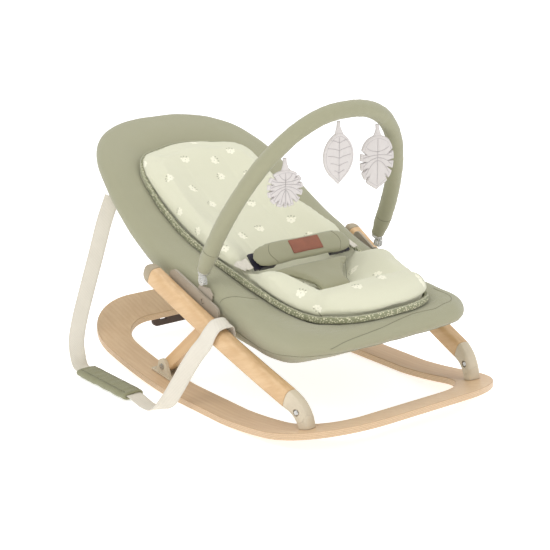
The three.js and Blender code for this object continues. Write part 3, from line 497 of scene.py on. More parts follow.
def skin(loops, closed=False, caps=True):
    """Points and faces of a skin over equal point loops; closed joins the last loop to the first."""
    count = len(loops[0])
    points = [p for loop in loops for p in loop]
    faces = []
    spans = len(loops) if closed else len(loops) - 1
    for i in range(spans):
        a, b = i * count, ((i + 1) % len(loops)) * count
        faces += [(a + j, a + (j + 1) % count, b + (j + 1) % count, b + j) for j in range(count)]
    if caps and not closed:
        faces += [tuple(range(count))[::-1], tuple(range(len(points) - count, len(points)))]
    return points, faces


def skinned(name, loops, paint, closed=False, caps=True):
    """A piece from loops of design points."""
    made, faces = skin(loops, closed, caps)
    return mesh_object(name, row(made), faces, paint)


def hit(obj, start, way):
    """Where a ray from a design point meets the piece, in design millimetres, or None."""
    found, place, _, _ = obj.ray_cast(Vector(row(start)), Vector(way))
    return design(place) if found else None


def bent(value, power):
    """A power that keeps its number's sign, for the sides of a superellipse."""
    return math.copysign(abs(value) ** power, value)


def spline(points, count, closed=False):
    """Centripetal Catmull-Rom curve through points, sampled evenly by control span."""
    p = [np.asarray(q, float) for q in points]
    spans = len(p) if closed else len(p) - 1
    if closed:
        get = lambda i: p[i % len(p)]
    else:
        ends = [2 * p[0] - p[1]] + p + [2 * p[-1] - p[-2]]
        get = lambda i: ends[i + 1]
    out = []
    total = count if closed else count + 1
    for k in range(total):
        u = k / count * spans
        i = min(int(u), spans - 1)
        a, b, c, d = get(i - 1), get(i), get(i + 1), get(i + 2)
        gaps = [max(np.linalg.norm(y - x) ** 0.5, 1e-6) for x, y in ((a, b), (b, c), (c, d))]
        t = gaps[0] + (u - i) * gaps[1]
        t1, t2, t3 = gaps[0], gaps[0] + gaps[1], sum(gaps)
        ab = a + (b - a) * (t / t1)
        bc = b + (c - b) * ((t - t1) / (t2 - t1))
        cd = c + (d - c) * ((t - t2) / (t3 - t2))
        abc = ab + (bc - ab) * (t / t2)
        bcd = bc + (cd - bc) * ((t - t1) / (t3 - t1))
        out.append(abc + (bcd - abc) * ((t - t1) / (t2 - t1)))
    return np.array(out)


def tangents(points, closed=False):
    p = np.asarray(points, float)
    if closed:
        t = np.roll(p, -1, 0) - np.roll(p, 1, 0)
    else:
        t = np.gradient(p, axis=0)
    return t / np.linalg.norm(t, axis=1, keepdims=True)


def tube_loops(points, radius, sides, guide=(0, 0, 1), closed=False):
    """Round sections along a curve; radius is a number or one per point."""
    p = np.asarray(points, float)
    t = tangents(p, closed)
    r = np.broadcast_to(radius, (len(p),))
    loops = []
    for q, along, size in zip(p, t, r):
        up = np.array(guide, float) - along * np.dot(guide, along)
        up /= np.linalg.norm(up)
        out = np.cross(along, up)
        turn = np.linspace(0, 2 * math.pi, sides, endpoint=False)
        loops.append([q + size * (math.cos(a) * out + math.sin(a) * up) for a in turn])
    return loops


def tube(name, points, radius, paint, sides=10, guide=(0, 0, 1), closed=False):
    return skinned(name, tube_loops(points, radius, sides, guide, closed), paint, closed)


def merge(name, objs):
    """Joins meshes into one object."""
    first = objs[0]
    with bpy.context.temp_override(active_object=first, selected_editable_objects=objs, object=first):
        bpy.ops.object.join()
    first.name = name
    return first


def coords(obj):
    flat = np.zeros(len(obj.data.vertices) * 3, np.float32)
    obj.data.vertices.foreach_get("co", flat)
    return flat.reshape(-1, 3).astype(float)


def set_coords(obj, points):
    obj.data.vertices.foreach_set("co", np.asarray(points, np.float32).ravel())
    obj.data.update()


def evaluated(obj):
    """Replaces the object's mesh by its modified one and clears its modifiers."""
    bpy.context.view_layer.update()
    depsgraph = bpy.context.evaluated_depsgraph_get()
    mesh = bpy.data.meshes.new_from_object(obj.evaluated_get(depsgraph))
    obj.modifiers.clear()
    obj.data = mesh
    return obj


def subdivide(obj, levels=1):
    modifier = obj.modifiers.new("smooth", "SUBSURF")
    modifier.levels = modifier.render_levels = levels
    return evaluated(obj)


CLOTH_PRESSURE = 4.0
CLOTH_FRAMES = 20


def puff(obj, voxel, cap):
    """Remeshes a closed shape evenly and inflates it as cloth; no point moves further than cap."""
    remesh = obj.modifiers.new("remesh", "REMESH")
    remesh.mode = "VOXEL"
    remesh.voxel_size = voxel
    evaluated(obj)
    rest = coords(obj)
    cloth = obj.modifiers.new("cloth", "CLOTH")
    cloth.settings.use_pressure = True
    cloth.settings.uniform_pressure_force = CLOTH_PRESSURE
    cloth.settings.effector_weights.gravity = 0
    cloth.settings.quality = 5
    cloth.point_cache.frame_start = 1
    cloth.point_cache.frame_end = CLOTH_FRAMES
    for number in range(1, CLOTH_FRAMES + 1):
        scene.frame_set(number)
    evaluated(obj)
    scene.frame_set(1)
    shift = coords(obj) - rest
    far = np.linalg.norm(shift, axis=1, keepdims=True)
    set_coords(obj, rest + shift * (cap * np.tanh(far / cap) / np.maximum(far, 1e-9)))
    shade_smooth(obj.data)
    return obj


def keep_node(name, paint, bevel=0.0006, angle=35, segments=2):
    """A CAD node that stays shown: its finish, and slightly rounded edges."""
    obj = frame["nodes"][name]
    obj.data.materials.clear()
    obj.data.materials.append(paint.material)
    shade_smooth(obj.data)
    if bevel:
        edge = obj.modifiers.new("edge", "BEVEL")
        edge.width = bevel
        edge.segments = segments
        edge.limit_method = "ANGLE"
        edge.angle_limit = math.radians(angle)
        edge.harden_normals = True
    else:
        flat = obj.modifiers.new("split", "EDGE_SPLIT")
        flat.split_angle = math.radians(angle)
    return obj


def finish_piece(obj, body, slot, *nodes):
    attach(obj, body)
    if nodes:
        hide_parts(*nodes)
    return obj


def roughen(obj, amount, scale, seed=0.0, along=(1, 1, 1)):
    """Soft uneven dents along the normals, in metres."""
    normals = np.array([v.normal for v in obj.data.vertices])
    points = coords(obj)
    x, y, z = along
    offsets = [
        amount * noise.noise(Vector((p[0] * x * scale + seed, p[1] * y * scale, p[2] * z * scale))) for p in points
    ]
    set_coords(obj, points + normals * np.array(offsets)[:, None])


# ---------------------------------------------------------------- shapes shared with the CAD model
RING = dict(
    rear=-350, front=350, half=219, side=55, rear_width=67, front_width=62, outer=(128, 136), inner=(70, 82),
    thickness=11.5, radius=1016, contact=35, straight=18, flat=70,
)
ARM = dict(elbow=(234, 181, 73), rear=(-80, 214, 199), height=32, width=25, bow=-4, cap=20)
SEAT_HALF = [(-408, 0), (-404, 62), (-382, 118), (-338, 160), (-262, 186), (-160, 194), (-70, 189), (14, 180.4),
             (110, 178), (190, 178), (245, 168), (275, 138), (284, 88), (284, 0)]
RIM = [(-408, 397), (-303, 350), (-230, 304), (-159, 262), (-74, 228), (20, 203), (100, 187), (170, 176),
       (230, 174), (284, 172)]
DISH = [(-408, 12), (-300, 20), (-150, 22), (-50, 36), (60, 46), (150, 40), (220, 22), (284, 6)]
DEPTH = [(-408, 24), (-300, 26), (-150, 32), (-60, 46), (30, 66), (110, 62), (160, 54), (220, 36), (260, 20),
         (284, 14)]
ROLL = 22.0
BORDER = 46.0
CUSHION_HALF = [(-316, 0), (-311, 48), (-294, 92), (-262, 120), (-200, 130), (-60, 130), (40, 130), (130, 130),
                (196, 121), (240, 98), (258, 56), (262, 0)]
CUSHION_THICKNESS = [(-300, 38), (-150, 48), (0, 48), (100, 44), (262, 38)]
BAR = dict(x=18, z=226, half=184, reach=288, lean=math.radians(27), radius=13.5)
BELT = dict(x=46, z=238, half=94, height=40, thickness=13, tilt=math.radians(45), rise=8.5)


def smooth(t):
    t = np.clip(t, 0, 1)
    return t * t * (3 - 2 * t)


def quarter(t):
    return np.sqrt(np.maximum(0, 1 - (1 - np.minimum(1, t)) ** 2))


def profile(points):
    """A smooth curve y(x) through a few points."""
    xs, ys = np.array(points, float).T
    last = len(xs) - 1
    slopes = np.array([
        (ys[min(i + 1, last)] - ys[max(i - 1, 0)]) / (xs[min(i + 1, last)] - xs[max(i - 1, 0)])
        for i in range(len(xs))
    ])

    def at(x):
        x = np.asarray(x, float)
        i = np.clip(np.searchsorted(xs, x, side="left") - 1, 0, last - 1)
        width = xs[i + 1] - xs[i]
        t = np.clip((x - xs[i]) / width, 0, 1)
        s = t * t * (3 - 2 * t)
        start = ys[i] + slopes[i] * width * t
        end = ys[i + 1] - slopes[i + 1] * width * (1 - t)
        return start * (1 - s) + end * s

    return at


def outline(half, count):
    mirrored = [(x, -y) for x, y in half[-2:0:-1]]
    points = [(x, y, 0) for x, y in [*half, *mirrored]]
    return spline(points, count, closed=True)[:, :2]


def inset_of(plan, points):
    """How far plan points lie inside a closed outline."""
    a = plan
    b = np.roll(plan, -1, 0)
    ab = b - a
    size = (ab**2).sum(1)
    points = np.atleast_2d(points)
    best = np.full(len(points), np.inf)
    for start in range(0, len(points), 4000):
        part = points[start:start + 4000]
        t = np.clip(((part[:, None] - a) * ab).sum(2) / size, 0, 1)
        near = a + ab * t[..., None]
        best[start:start + 4000] = np.sqrt(((part[:, None] - near) ** 2).sum(2)).min(1)
    return best


def inset_loop(plan, inset):
    along = np.roll(plan, -1, 0) - np.roll(plan, 1, 0)
    along /= np.linalg.norm(along, axis=1, keepdims=True)
    return plan + np.stack([along[:, 1], -along[:, 0]], 1) * inset


rim_at, dish_at, depth_at = profile(RIM), profile(DISH), profile(DEPTH)
thickness_at = profile(CUSHION_THICKNESS)
SEAT_PLAN = outline(SEAT_HALF, 240)
CUSHION_OUTLINE = outline(CUSHION_HALF, 240)
CUSHION_PLAN = inset_loop(CUSHION_OUTLINE, 8.0)


def seat_middle(x):
    return rim_at(x) - ROLL * 0.9


def seat_top(x, inset):
    return seat_middle(x) + ROLL * 0.9 * quarter(inset / ROLL) - dish_at(x) * smooth((inset - BORDER) / 85)


def seat_under(x, inset):
    return seat_middle(x) - depth_at(x) * quarter(inset / (ROLL + 0.5 * depth_at(x)))


def seat_surface(xy):
    xy = np.atleast_2d(xy)
    return seat_top(xy[:, 0], inset_of(SEAT_PLAN, xy))


def cushion_top(xy, inset):
    """The CAD cushion's upper surface."""
    x = xy[:, 0]
    across = np.clip((x - 34) / 62, -1, 1)
    edge = quarter(inset / 16)
    belted = 26 * np.cos(math.pi * across / 2) ** 2 * edge
    away = np.hypot((x - 84) / 62, xy[:, 1] / 52)
    roll = 18 * smooth((x - 70) / 50) * smooth((away - 0.75) / 0.5) * quarter(inset / 26)
    return seat_surface(xy) + 8 + (thickness_at(x) - 8) * edge + roll - belted - 12 * smooth((inset - 20) / 90)


def arch_point(a):
    c, s = math.cos(a), math.sin(a)
    reach = abs(s) ** (2 / 1.9) * BAR["reach"]
    return np.array([
        BAR["x"] + reach * math.sin(BAR["lean"]),
        bent(c, 2 / 2.3) * BAR["half"],
        BAR["z"] + reach * math.cos(BAR["lean"]),
    ])


def arch_at(y):
    low, high = 0.0, math.pi
    for _ in range(40):
        middle = (low + high) / 2
        if arch_point(middle)[1] > y:
            low = middle
        else:
            high = middle
    return arch_point(low)


def even(points, count):
    """The same open line with evenly spaced points."""
    points = np.asarray(points, float)
    reach = np.concatenate([[0], np.cumsum(np.linalg.norm(np.diff(points, axis=0), axis=1))])
    wanted = np.linspace(0, reach[-1], count)
    return np.stack([np.interp(wanted, reach, points[:, k]) for k in range(points.shape[1])], 1)


ARCH = even([arch_point(math.pi * i / 600) for i in range(601)], 181)


def ring_bottom(x):
    out = np.maximum(RING["flat"], np.abs(np.asarray(x, float) - RING["contact"])) - RING["straight"]
    sagitta = lambda reach: RING["radius"] - np.sqrt(RING["radius"] ** 2 - reach**2)
    return sagitta(out) - sagitta(RING["flat"] - RING["straight"])


def arm_centre(t, side):
    (ex, ey, ez), (rx, ry, rz) = ARM["elbow"], ARM["rear"]
    return np.array([
        ex + (rx - ex) * t, side * (ey + (ry - ey) * t), ez + (rz - ez) * t + ARM["bow"] * 4 * t * (1 - t),
    ])


def oblong(centre, tangent, width, height):
    """The arms' rounded section."""
    across = np.cross((0, 0, 1), tangent)
    across /= np.linalg.norm(across)
    up = np.cross(tangent, across)
    loop = []
    for a in np.linspace(0, 2 * math.pi, 40, endpoint=False):
        w = bent(math.cos(a), 0.62) * width / 2
        h = bent(math.sin(a), 0.62) * height / 2
        loop.append(centre + w * across + h * up)
    return loop


def flat_loop(point, width, thickness, along, out, power, sides):
    loop = []
    for j in range(sides):
        a = 2 * math.pi * (j + 0.5) / sides
        w = bent(math.cos(a), power) * width / 2
        h = bent(math.sin(a), power) * thickness / 2
        loop.append(np.asarray(point) + w * np.asarray(along) + h * np.asarray(out))
    return loop


# ---------------------------------------------------------------- rocker ring
def rounded_loop(rear, front, half, rear_radius, front_radius):
    """An oblong with round corners, of 22 points a corner and 16 or 60 steps a side."""
    corners = [
        (front - front_radius, -half + front_radius, front_radius, -90),
        (front - front_radius, half - front_radius, front_radius, 0),
        (rear + rear_radius, half - rear_radius, rear_radius, 90),
        (rear + rear_radius, -half + rear_radius, rear_radius, 180),
    ]
    arcs = [
        [(cx + r * math.cos(math.radians(a)), cy + r * math.sin(math.radians(a)))
         for a in np.linspace(start, start + 90, 22)]
        for cx, cy, r, start in corners
    ]
    points = []
    for i, stretch in enumerate(arcs):
        points += stretch
        end, following = np.array(stretch[-1]), np.array(arcs[(i + 1) % 4][0])
        steps = (16, 60)[i % 2]
        points += [tuple(end + (following - end) * k / steps) for k in range(1, steps)]
    return np.array(points)


def rocker_ring(paint):
    outer = rounded_loop(RING["rear"], RING["front"], RING["half"], *RING["outer"])
    inner = rounded_loop(
        RING["rear"] + RING["rear_width"], RING["front"] - RING["front_width"], RING["half"] - RING["side"],
        *RING["inner"],
    )
    thick, round_off = RING["thickness"], 1.6
    section = []
    for u, v, start in ((0, 0, 180), (0, 1, 90), (1, 1, 0), (1, 0, -90)):
        for a in np.linspace(start + 90, start, 5):
            angle = math.radians(a)
            section.append((u, v, round_off * math.cos(angle), round_off * math.sin(angle)))
    points, ply, edge = [], [], []
    for (ox, oy), (ix, iy) in zip(outer, inner):
        across = np.array([ix - ox, iy - oy])
        width = np.linalg.norm(across)
        across /= width
        for u, v, dx, dz in section:
            into = (round_off if u == 0 else width - round_off) + dx
            x, y = np.array([ox, oy]) + across * into
            lift = (round_off if v == 0 else thick - round_off) + dz
            points.append((x, y, float(ring_bottom(ox + (ix - ox) * into / width)) + lift))
            ply.append(lift / thick)
            edge.append(1.0 if into < round_off * 0.7 or into > width - round_off * 0.7 else 0.0)
    count = len(section)
    loops = [points[i:i + count] for i in range(0, len(points), count)]
    ring = skinned("ring_plywood", loops, paint, closed=True)
    attribute(ring, "ply", ply)
    attribute(ring, "edge", edge)
    crisp = ring.modifiers.new("normals", "WEIGHTED_NORMAL")
    crisp.keep_sharp = True
    finish_piece(ring, "base", "plywood", "rocker_base")
    return ring


# ---------------------------------------------------------------- arms
def arms(wood, cap_paint):
    for name, side in SIDES:
        length = np.linalg.norm(arm_centre(0, side) - arm_centre(1, side))

        def section(t, scale):
            tangent = arm_centre(t + 0.01, side) - arm_centre(t - 0.01, side)
            tangent /= np.linalg.norm(tangent)
            return oblong(arm_centre(t, side), tangent, ARM["width"] * scale, ARM["height"] * scale)

        start = 1.0 / length
        stops = [(start, 0.955), (start + 0.6 / length, 0.985), (start + 1.6 / length, 1.0)]
        stops += [(t, 1.0) for t in np.linspace(0.02, 0.98, 30)]
        stops += [(1 - 1.6 / length, 1.0), (1 - 0.6 / length, 0.985), (1.0, 0.955)]
        piece = skinned(f"arm_wood_{name}", [section(t, s) for t, s in stops], wood)
        finish_piece(piece, "arms", "beech", f"arm_{name}")
        stops = [(0.0, 0.95), (0.03, 0.985), (0.06, 0.998)]
        stops += [(s, (1 - (0.93 * s) ** 2.6) ** 0.5) for s in np.linspace(0.1, 1, 16)]
        loops = [section(1 + 0.3 / length + ARM["cap"] / length * s, k) for s, k in stops]
        piece = skinned(f"arm_end_cap_{name}", loops, cap_paint)
        finish_piece(piece, "arms", "grey_plastic", f"arm_cap_{name}")


# ---------------------------------------------------------------- seat cover
def pad_loops(plan, spine, *sides):
    """Loops between a plan and a middle line; each side has its steps inwards and its height over the plan."""
    target = np.stack([np.clip(plan[:, 0], *spine), np.zeros(len(plan))], 1)
    loops = []
    for levels, height in sides:
        for t in levels:
            xy = plan + (target - plan) * t
            loops.append(list(np.column_stack([xy, height(xy)])))
    return loops


def seat_body(paint, thread):
    levels = [0, 0.003, 0.009, 0.018, 0.03, 0.045, 0.065, 0.09, 0.12, 0.155, 0.2, 0.26, 0.33, 0.42, 0.53, 0.66,
              0.82, 1]
    top = lambda xy: seat_top(xy[:, 0], inset_of(SEAT_PLAN, xy))
    under = lambda xy: seat_under(xy[:, 0], inset_of(SEAT_PLAN, xy))
    loops = pad_loops(SEAT_PLAN, (-270, 150), (levels[::-1], top), (levels[1:], under))
    cover = skinned("seat_cover_padded", loops, paint, caps=False)
    repair(cover.data, weld=True, dissolve=True)
    subdivide(cover, 1)
    roughen(cover, 0.0016, 7.0, 3.1)
    roughen(cover, 0.0007, 22.0, 8.4, (1, 1.6, 1))
    pucker(cover)
    shade_smooth(cover.data)
    finish_piece(cover, "seat", "sage_fabric", "seat_cover", "seat_sling")
    seams(cover, thread)
    return cover


def pucker(cover):
    """Small creases where the cover is pulled round the frame at the hips and under the front."""
    points = coords(cover)
    x, y, z = design(points).T
    normals = np.array([v.normal for v in cover.data.vertices])
    below = smooth((seat_middle(x) - z) / 18)
    hip = np.exp(-((x - 60) / 60) ** 2) * smooth((np.abs(y) - 120) / 30)
    wave = np.sin((x * 0.9 + z * 1.6) / 7.0)
    front = np.exp(-((x - 236) / 40) ** 2) * np.sin(y / 9.0 + np.sin(y / 31.0))
    lift = 0.55 * hip * wave * below + 0.25 * front * below
    set_coords(cover, points + normals * lift[:, None] / 1000)


def on_cover(cover, starts, aim):
    """Points where rays from starts towards aim meet the cover; millimetres in, millimetres out."""
    hits = []
    for start in starts:
        way = (Vector(row(aim(start))) - Vector(row(start))).normalized()
        hits.append(hit(cover, start, way))
    return [place for place in hits if place is not None]


FRONT_SEAM = [
    (262, 152, 175), (270, 144, 173.4), (287, 116, 172.9), (296, 92, 171.8), (296.4, 62, 172), (295, 31, 172),
    (300, -1, 170.3), (305, -30, 168), (307, -62, 165.7), (307.3, -90, 163.6), (306, -117, 159.5), (300, -136, 153),
]


def seams(cover, thread):
    """The sewn lines: round the rim's underside, across the front roll, and the hip gussets."""
    loop = inset_loop(SEAT_PLAN, 7.0)
    centre = np.column_stack([loop, seat_under(loop[:, 0], inset_of(SEAT_PLAN, loop))])
    hits = on_cover(cover, [p + np.array([0, 0, -30]) for p in centre], lambda p: p + np.array([0, 0, 60]))
    made = [tube("seam_rim", hits[::2], 0.55, thread, 8, closed=True)]
    for name, side in SIDES:
        hip = [(46, 190, 176), (50, 186, 196), (58, 180, 203), (70, 170, 206), (84, 156, 204), (96, 140, 198)]
        starts = spline([(x, side * y, z + 40) for x, y, z in hip], 30)
        line = on_cover(cover, starts, lambda p: p + np.array([0, -side * 6, -60]))
        made.append(tube(f"seam_hip_{name}", line, 0.55, thread, 8))
    front = spline(FRONT_SEAM, 60)
    line = on_cover(cover, [p + np.array([60, 0, 0]) for p in front], lambda p: p - np.array([160, 0, 0]))
    made.append(tube("seam_front", line, 0.55, thread, 8))
    finish_piece(merge("seat_cover_seams", made), "seat", "sage_fabric")


# ---------------------------------------------------------------- cushion
def cushion_body(paint):
    levels = [0, 0.012, 0.03, 0.055, 0.09, 0.14, 0.21, 0.31, 0.45, 0.62, 0.8, 1]

    def top(xy):
        inset = inset_of(CUSHION_PLAN, xy)
        return cushion_top(xy, inset) - 3.0 * quarter(inset / 16)

    bottom = lambda xy: seat_surface(xy) + 1.5
    loops = pad_loops(CUSHION_PLAN, (-180, 150), (levels[::-1], top), (levels, bottom))
    pad = skinned("cushion_printed", loops, paint, caps=False)
    repair(pad.data, weld=True)
    puff(pad, 0.0048, 0.007)
    points = design(coords(pad))
    inset = inset_of(CUSHION_PLAN, points[:, :2])
    floor = seat_surface(points[:, :2])
    upper = smooth((points[:, 2] - floor - 14) / 10)
    groove = np.zeros(len(points))
    for offset in (-46, 46):
        line = offset * (1 - 0.12 * np.clip((-points[:, 0] - 120) / 160, 0, 1))
        away = np.abs(points[:, 1] - line)
        reach = smooth((points[:, 0] + 285) / 30) * smooth((10 - points[:, 0]) / 30)
        groove += np.exp(-((away / 5.5) ** 2)) * reach
    for place in (-212, -128, 120, 196):
        groove += 0.6 * np.exp(-(((points[:, 0] - place) / 6) ** 2)) * smooth((inset - 12) / 20)
    points[:, 2] -= 1.3 * groove * upper
    front = smooth((points[:, 0] - 120) / 80)
    bulge = (6.5 + 3.5 * front) * smooth((points[:, 2] - floor - 12) / 9) * (1 - smooth(inset / 24))
    away = points[:, :2] - np.column_stack([np.clip(points[:, 0], -200, 165), np.zeros(len(points))])
    points[:, :2] += away / np.linalg.norm(away, axis=1, keepdims=True).clip(1e-6) * bulge[:, None]
    points[:, 2] = np.maximum(points[:, 2], floor + 1.0)
    set_coords(pad, row(points))
    subdivide(pad, 1)
    roughen(pad, 0.0011, 16.0, 1.7)
    points = design(coords(pad))
    line = np.linspace(-320, 290, 400)
    run = np.concatenate([[0], np.cumsum(np.hypot(np.diff(line), np.diff(rim_at(line))))])
    u = np.interp(points[:, 0], line, run)
    side = np.maximum(0, seat_surface(points[:, :2]) + 34 - points[:, 2])
    v = points[:, 1] + np.sign(points[:, 1]) * side * (np.abs(points[:, 1]) > 95)
    attribute(pad, "print", np.column_stack([u, v, np.zeros(len(u))]) / 1000, "FLOAT_VECTOR")
    finish_piece(pad, "seat", "cream_fabric", "cushion")
    return pad


def cushion_edge(paint, thread):
    loop = inset_loop(CUSHION_OUTLINE, 4.5)
    centre = np.column_stack([loop, seat_surface(loop) + 6.6])
    outer = np.roll(centre, -1, 0) - np.roll(centre, 1, 0)
    loops = []
    for point, along in zip(centre, outer / np.linalg.norm(outer, axis=1, keepdims=True)):
        out = np.cross(along, (0, 0, 1))
        out /= np.linalg.norm(out)
        up = np.cross(out, along)
        loops.append(flat_loop(point, 11.0, 7.4, up, out, 0.75, 16))
    band = skinned("cushion_underside_edge", loops, paint, closed=True)
    roughen(band, 0.0006, 60.0, 5.0)
    finish_piece(band, "seat", "olive_fabric", "cushion_edge_band")
    line = inset_loop(CUSHION_OUTLINE, 2.6)
    seam = np.column_stack([line, seat_surface(line) + 11.8])
    piping = tube("cushion_edge_seam", seam, 0.8, thread, 8, closed=True)
    finish_piece(piping, "seat", "olive_fabric")


# ---------------------------------------------------------------- toy bar
def toy_bar(paint, thread):
    count = len(ARCH)
    reach = np.linspace(0, 1, count)
    end = np.minimum(reach, 1 - reach) * (count - 1) * np.linalg.norm(ARCH[1] - ARCH[0])
    radius = BAR["radius"] * (0.82 + 0.18 * smooth(end / 26)) - 0.5 * np.exp(-(((end - 22) / 1.6) ** 2))
    radius = radius + 0.22 * np.sin(reach * 300) * np.sin(reach * 41 + 1)
    plane = np.array([math.cos(BAR["lean"]), 0, -math.sin(BAR["lean"])])
    loops = tube_loops(ARCH, radius, 32, plane)
    sleeve = skinned("toy_bar_fabric_sleeve", loops, paint)
    roughen(sleeve, 0.0006, 45.0, 2.2)
    finish_piece(sleeve, "toy_bar", "sage_fabric", "toy_bar_sleeve", "toy_bar_core")
    t = tangents(ARCH)
    inward = -np.cross(t, plane)
    if np.dot(inward[count // 2], (0, 0, 1)) > 0:
        inward = -inward
    line = ARCH + (inward * 0.6 + plane * -0.8) * (radius[:, None] + 0.1)
    hems = [tube("toy_bar_seam", line[4:-4], 0.5, thread, 6)]
    for index in (9, count - 10):
        ring_loop = [ARCH[index] + (math.cos(a) * plane + math.sin(a) * inward[index]) * (radius[index] + 0.15)
                     for a in np.linspace(0, 2 * math.pi, 36, endpoint=False)]
        hems.append(tube(f"hem_{index}", ring_loop, 0.45, thread, 6, guide=t[index], closed=True))
    finish_piece(merge("toy_bar_stitching", hems), "toy_bar", "sage_fabric")


# ---------------------------------------------------------------- hanging toys
# Half outlines run from the stalk to the tip, as parts of the width and height.
# Cuts are (angle, depth, spread) and veins (angle, reach).
TOYS = (
    dict(
        name="palm_leaf", y=-107, width=60, height=58, neck=18, turn=-14,
        half=[(0, 0.5), (0.12, 0.49), (0.32, 0.41), (0.46, 0.24), (0.5, 0.02), (0.46, -0.22), (0.3, -0.42),
              (0.12, -0.5), (0, -0.52)],
        cuts=[(46, 0.24, 3.2), (70, 0.26, 3.0), (94, 0.26, 3.0), (119, 0.27, 3.2), (146, 0.28, 3.6),
              (172, 0.2, 2.6)],
        veins=[(26, 0.86), (58, 0.84), (82, 0.84), (106, 0.84), (132, 0.84), (160, 0.84)],
    ),
    dict(
        name="plain_leaf", y=-18, width=54, height=80, neck=17, turn=-10,
        half=[(0, 0.5), (0.1, 0.485), (0.27, 0.4), (0.43, 0.25), (0.5, 0.06), (0.46, -0.14), (0.32, -0.31),
              (0.14, -0.43), (0, -0.52)],
        cuts=[], veins=[],
    ),
    dict(
        name="monstera_leaf", y=68, width=61, height=86, neck=16, turn=-12,
        half=[(0, 0.5), (0.12, 0.49), (0.33, 0.41), (0.47, 0.22), (0.5, 0.0), (0.44, -0.22), (0.29, -0.39),
              (0.11, -0.48), (0, -0.53)],
        cuts=[(58, 0.3, 2.6), (88, 0.34, 2.6), (118, 0.34, 2.8), (146, 0.24, 2.6)],
        veins=[(40, 0.8), (73, 0.84), (103, 0.84), (133, 0.82)],
    ),
)


def leaf_rim(toy, count):
    """The leaf's outline about its middle, counted from its stalk."""
    half = np.array(toy["half"], float) * (toy["width"], toy["height"])
    fine = spline(np.column_stack([half, np.zeros(len(half))]), 240)[:, :2]
    fine[[0, -1], 0] = 0
    angles = np.degrees(np.arctan2(fine[:, 0], fine[:, 1]))
    angles = np.maximum.accumulate(np.clip(angles, 0, 180))
    rim = []
    for k in range(count):
        a = 360 * k / count
        folded = min(a, 360 - a)
        radius = np.interp(folded, angles, np.linalg.norm(fine, axis=1))
        for at, depth, spread in toy["cuts"]:
            radius *= 1 - depth * math.exp(-(((folded - at) / spread) ** 4))
        rim.append((radius * math.sin(math.radians(a)), radius * math.cos(math.radians(a))))
    return np.array(rim)


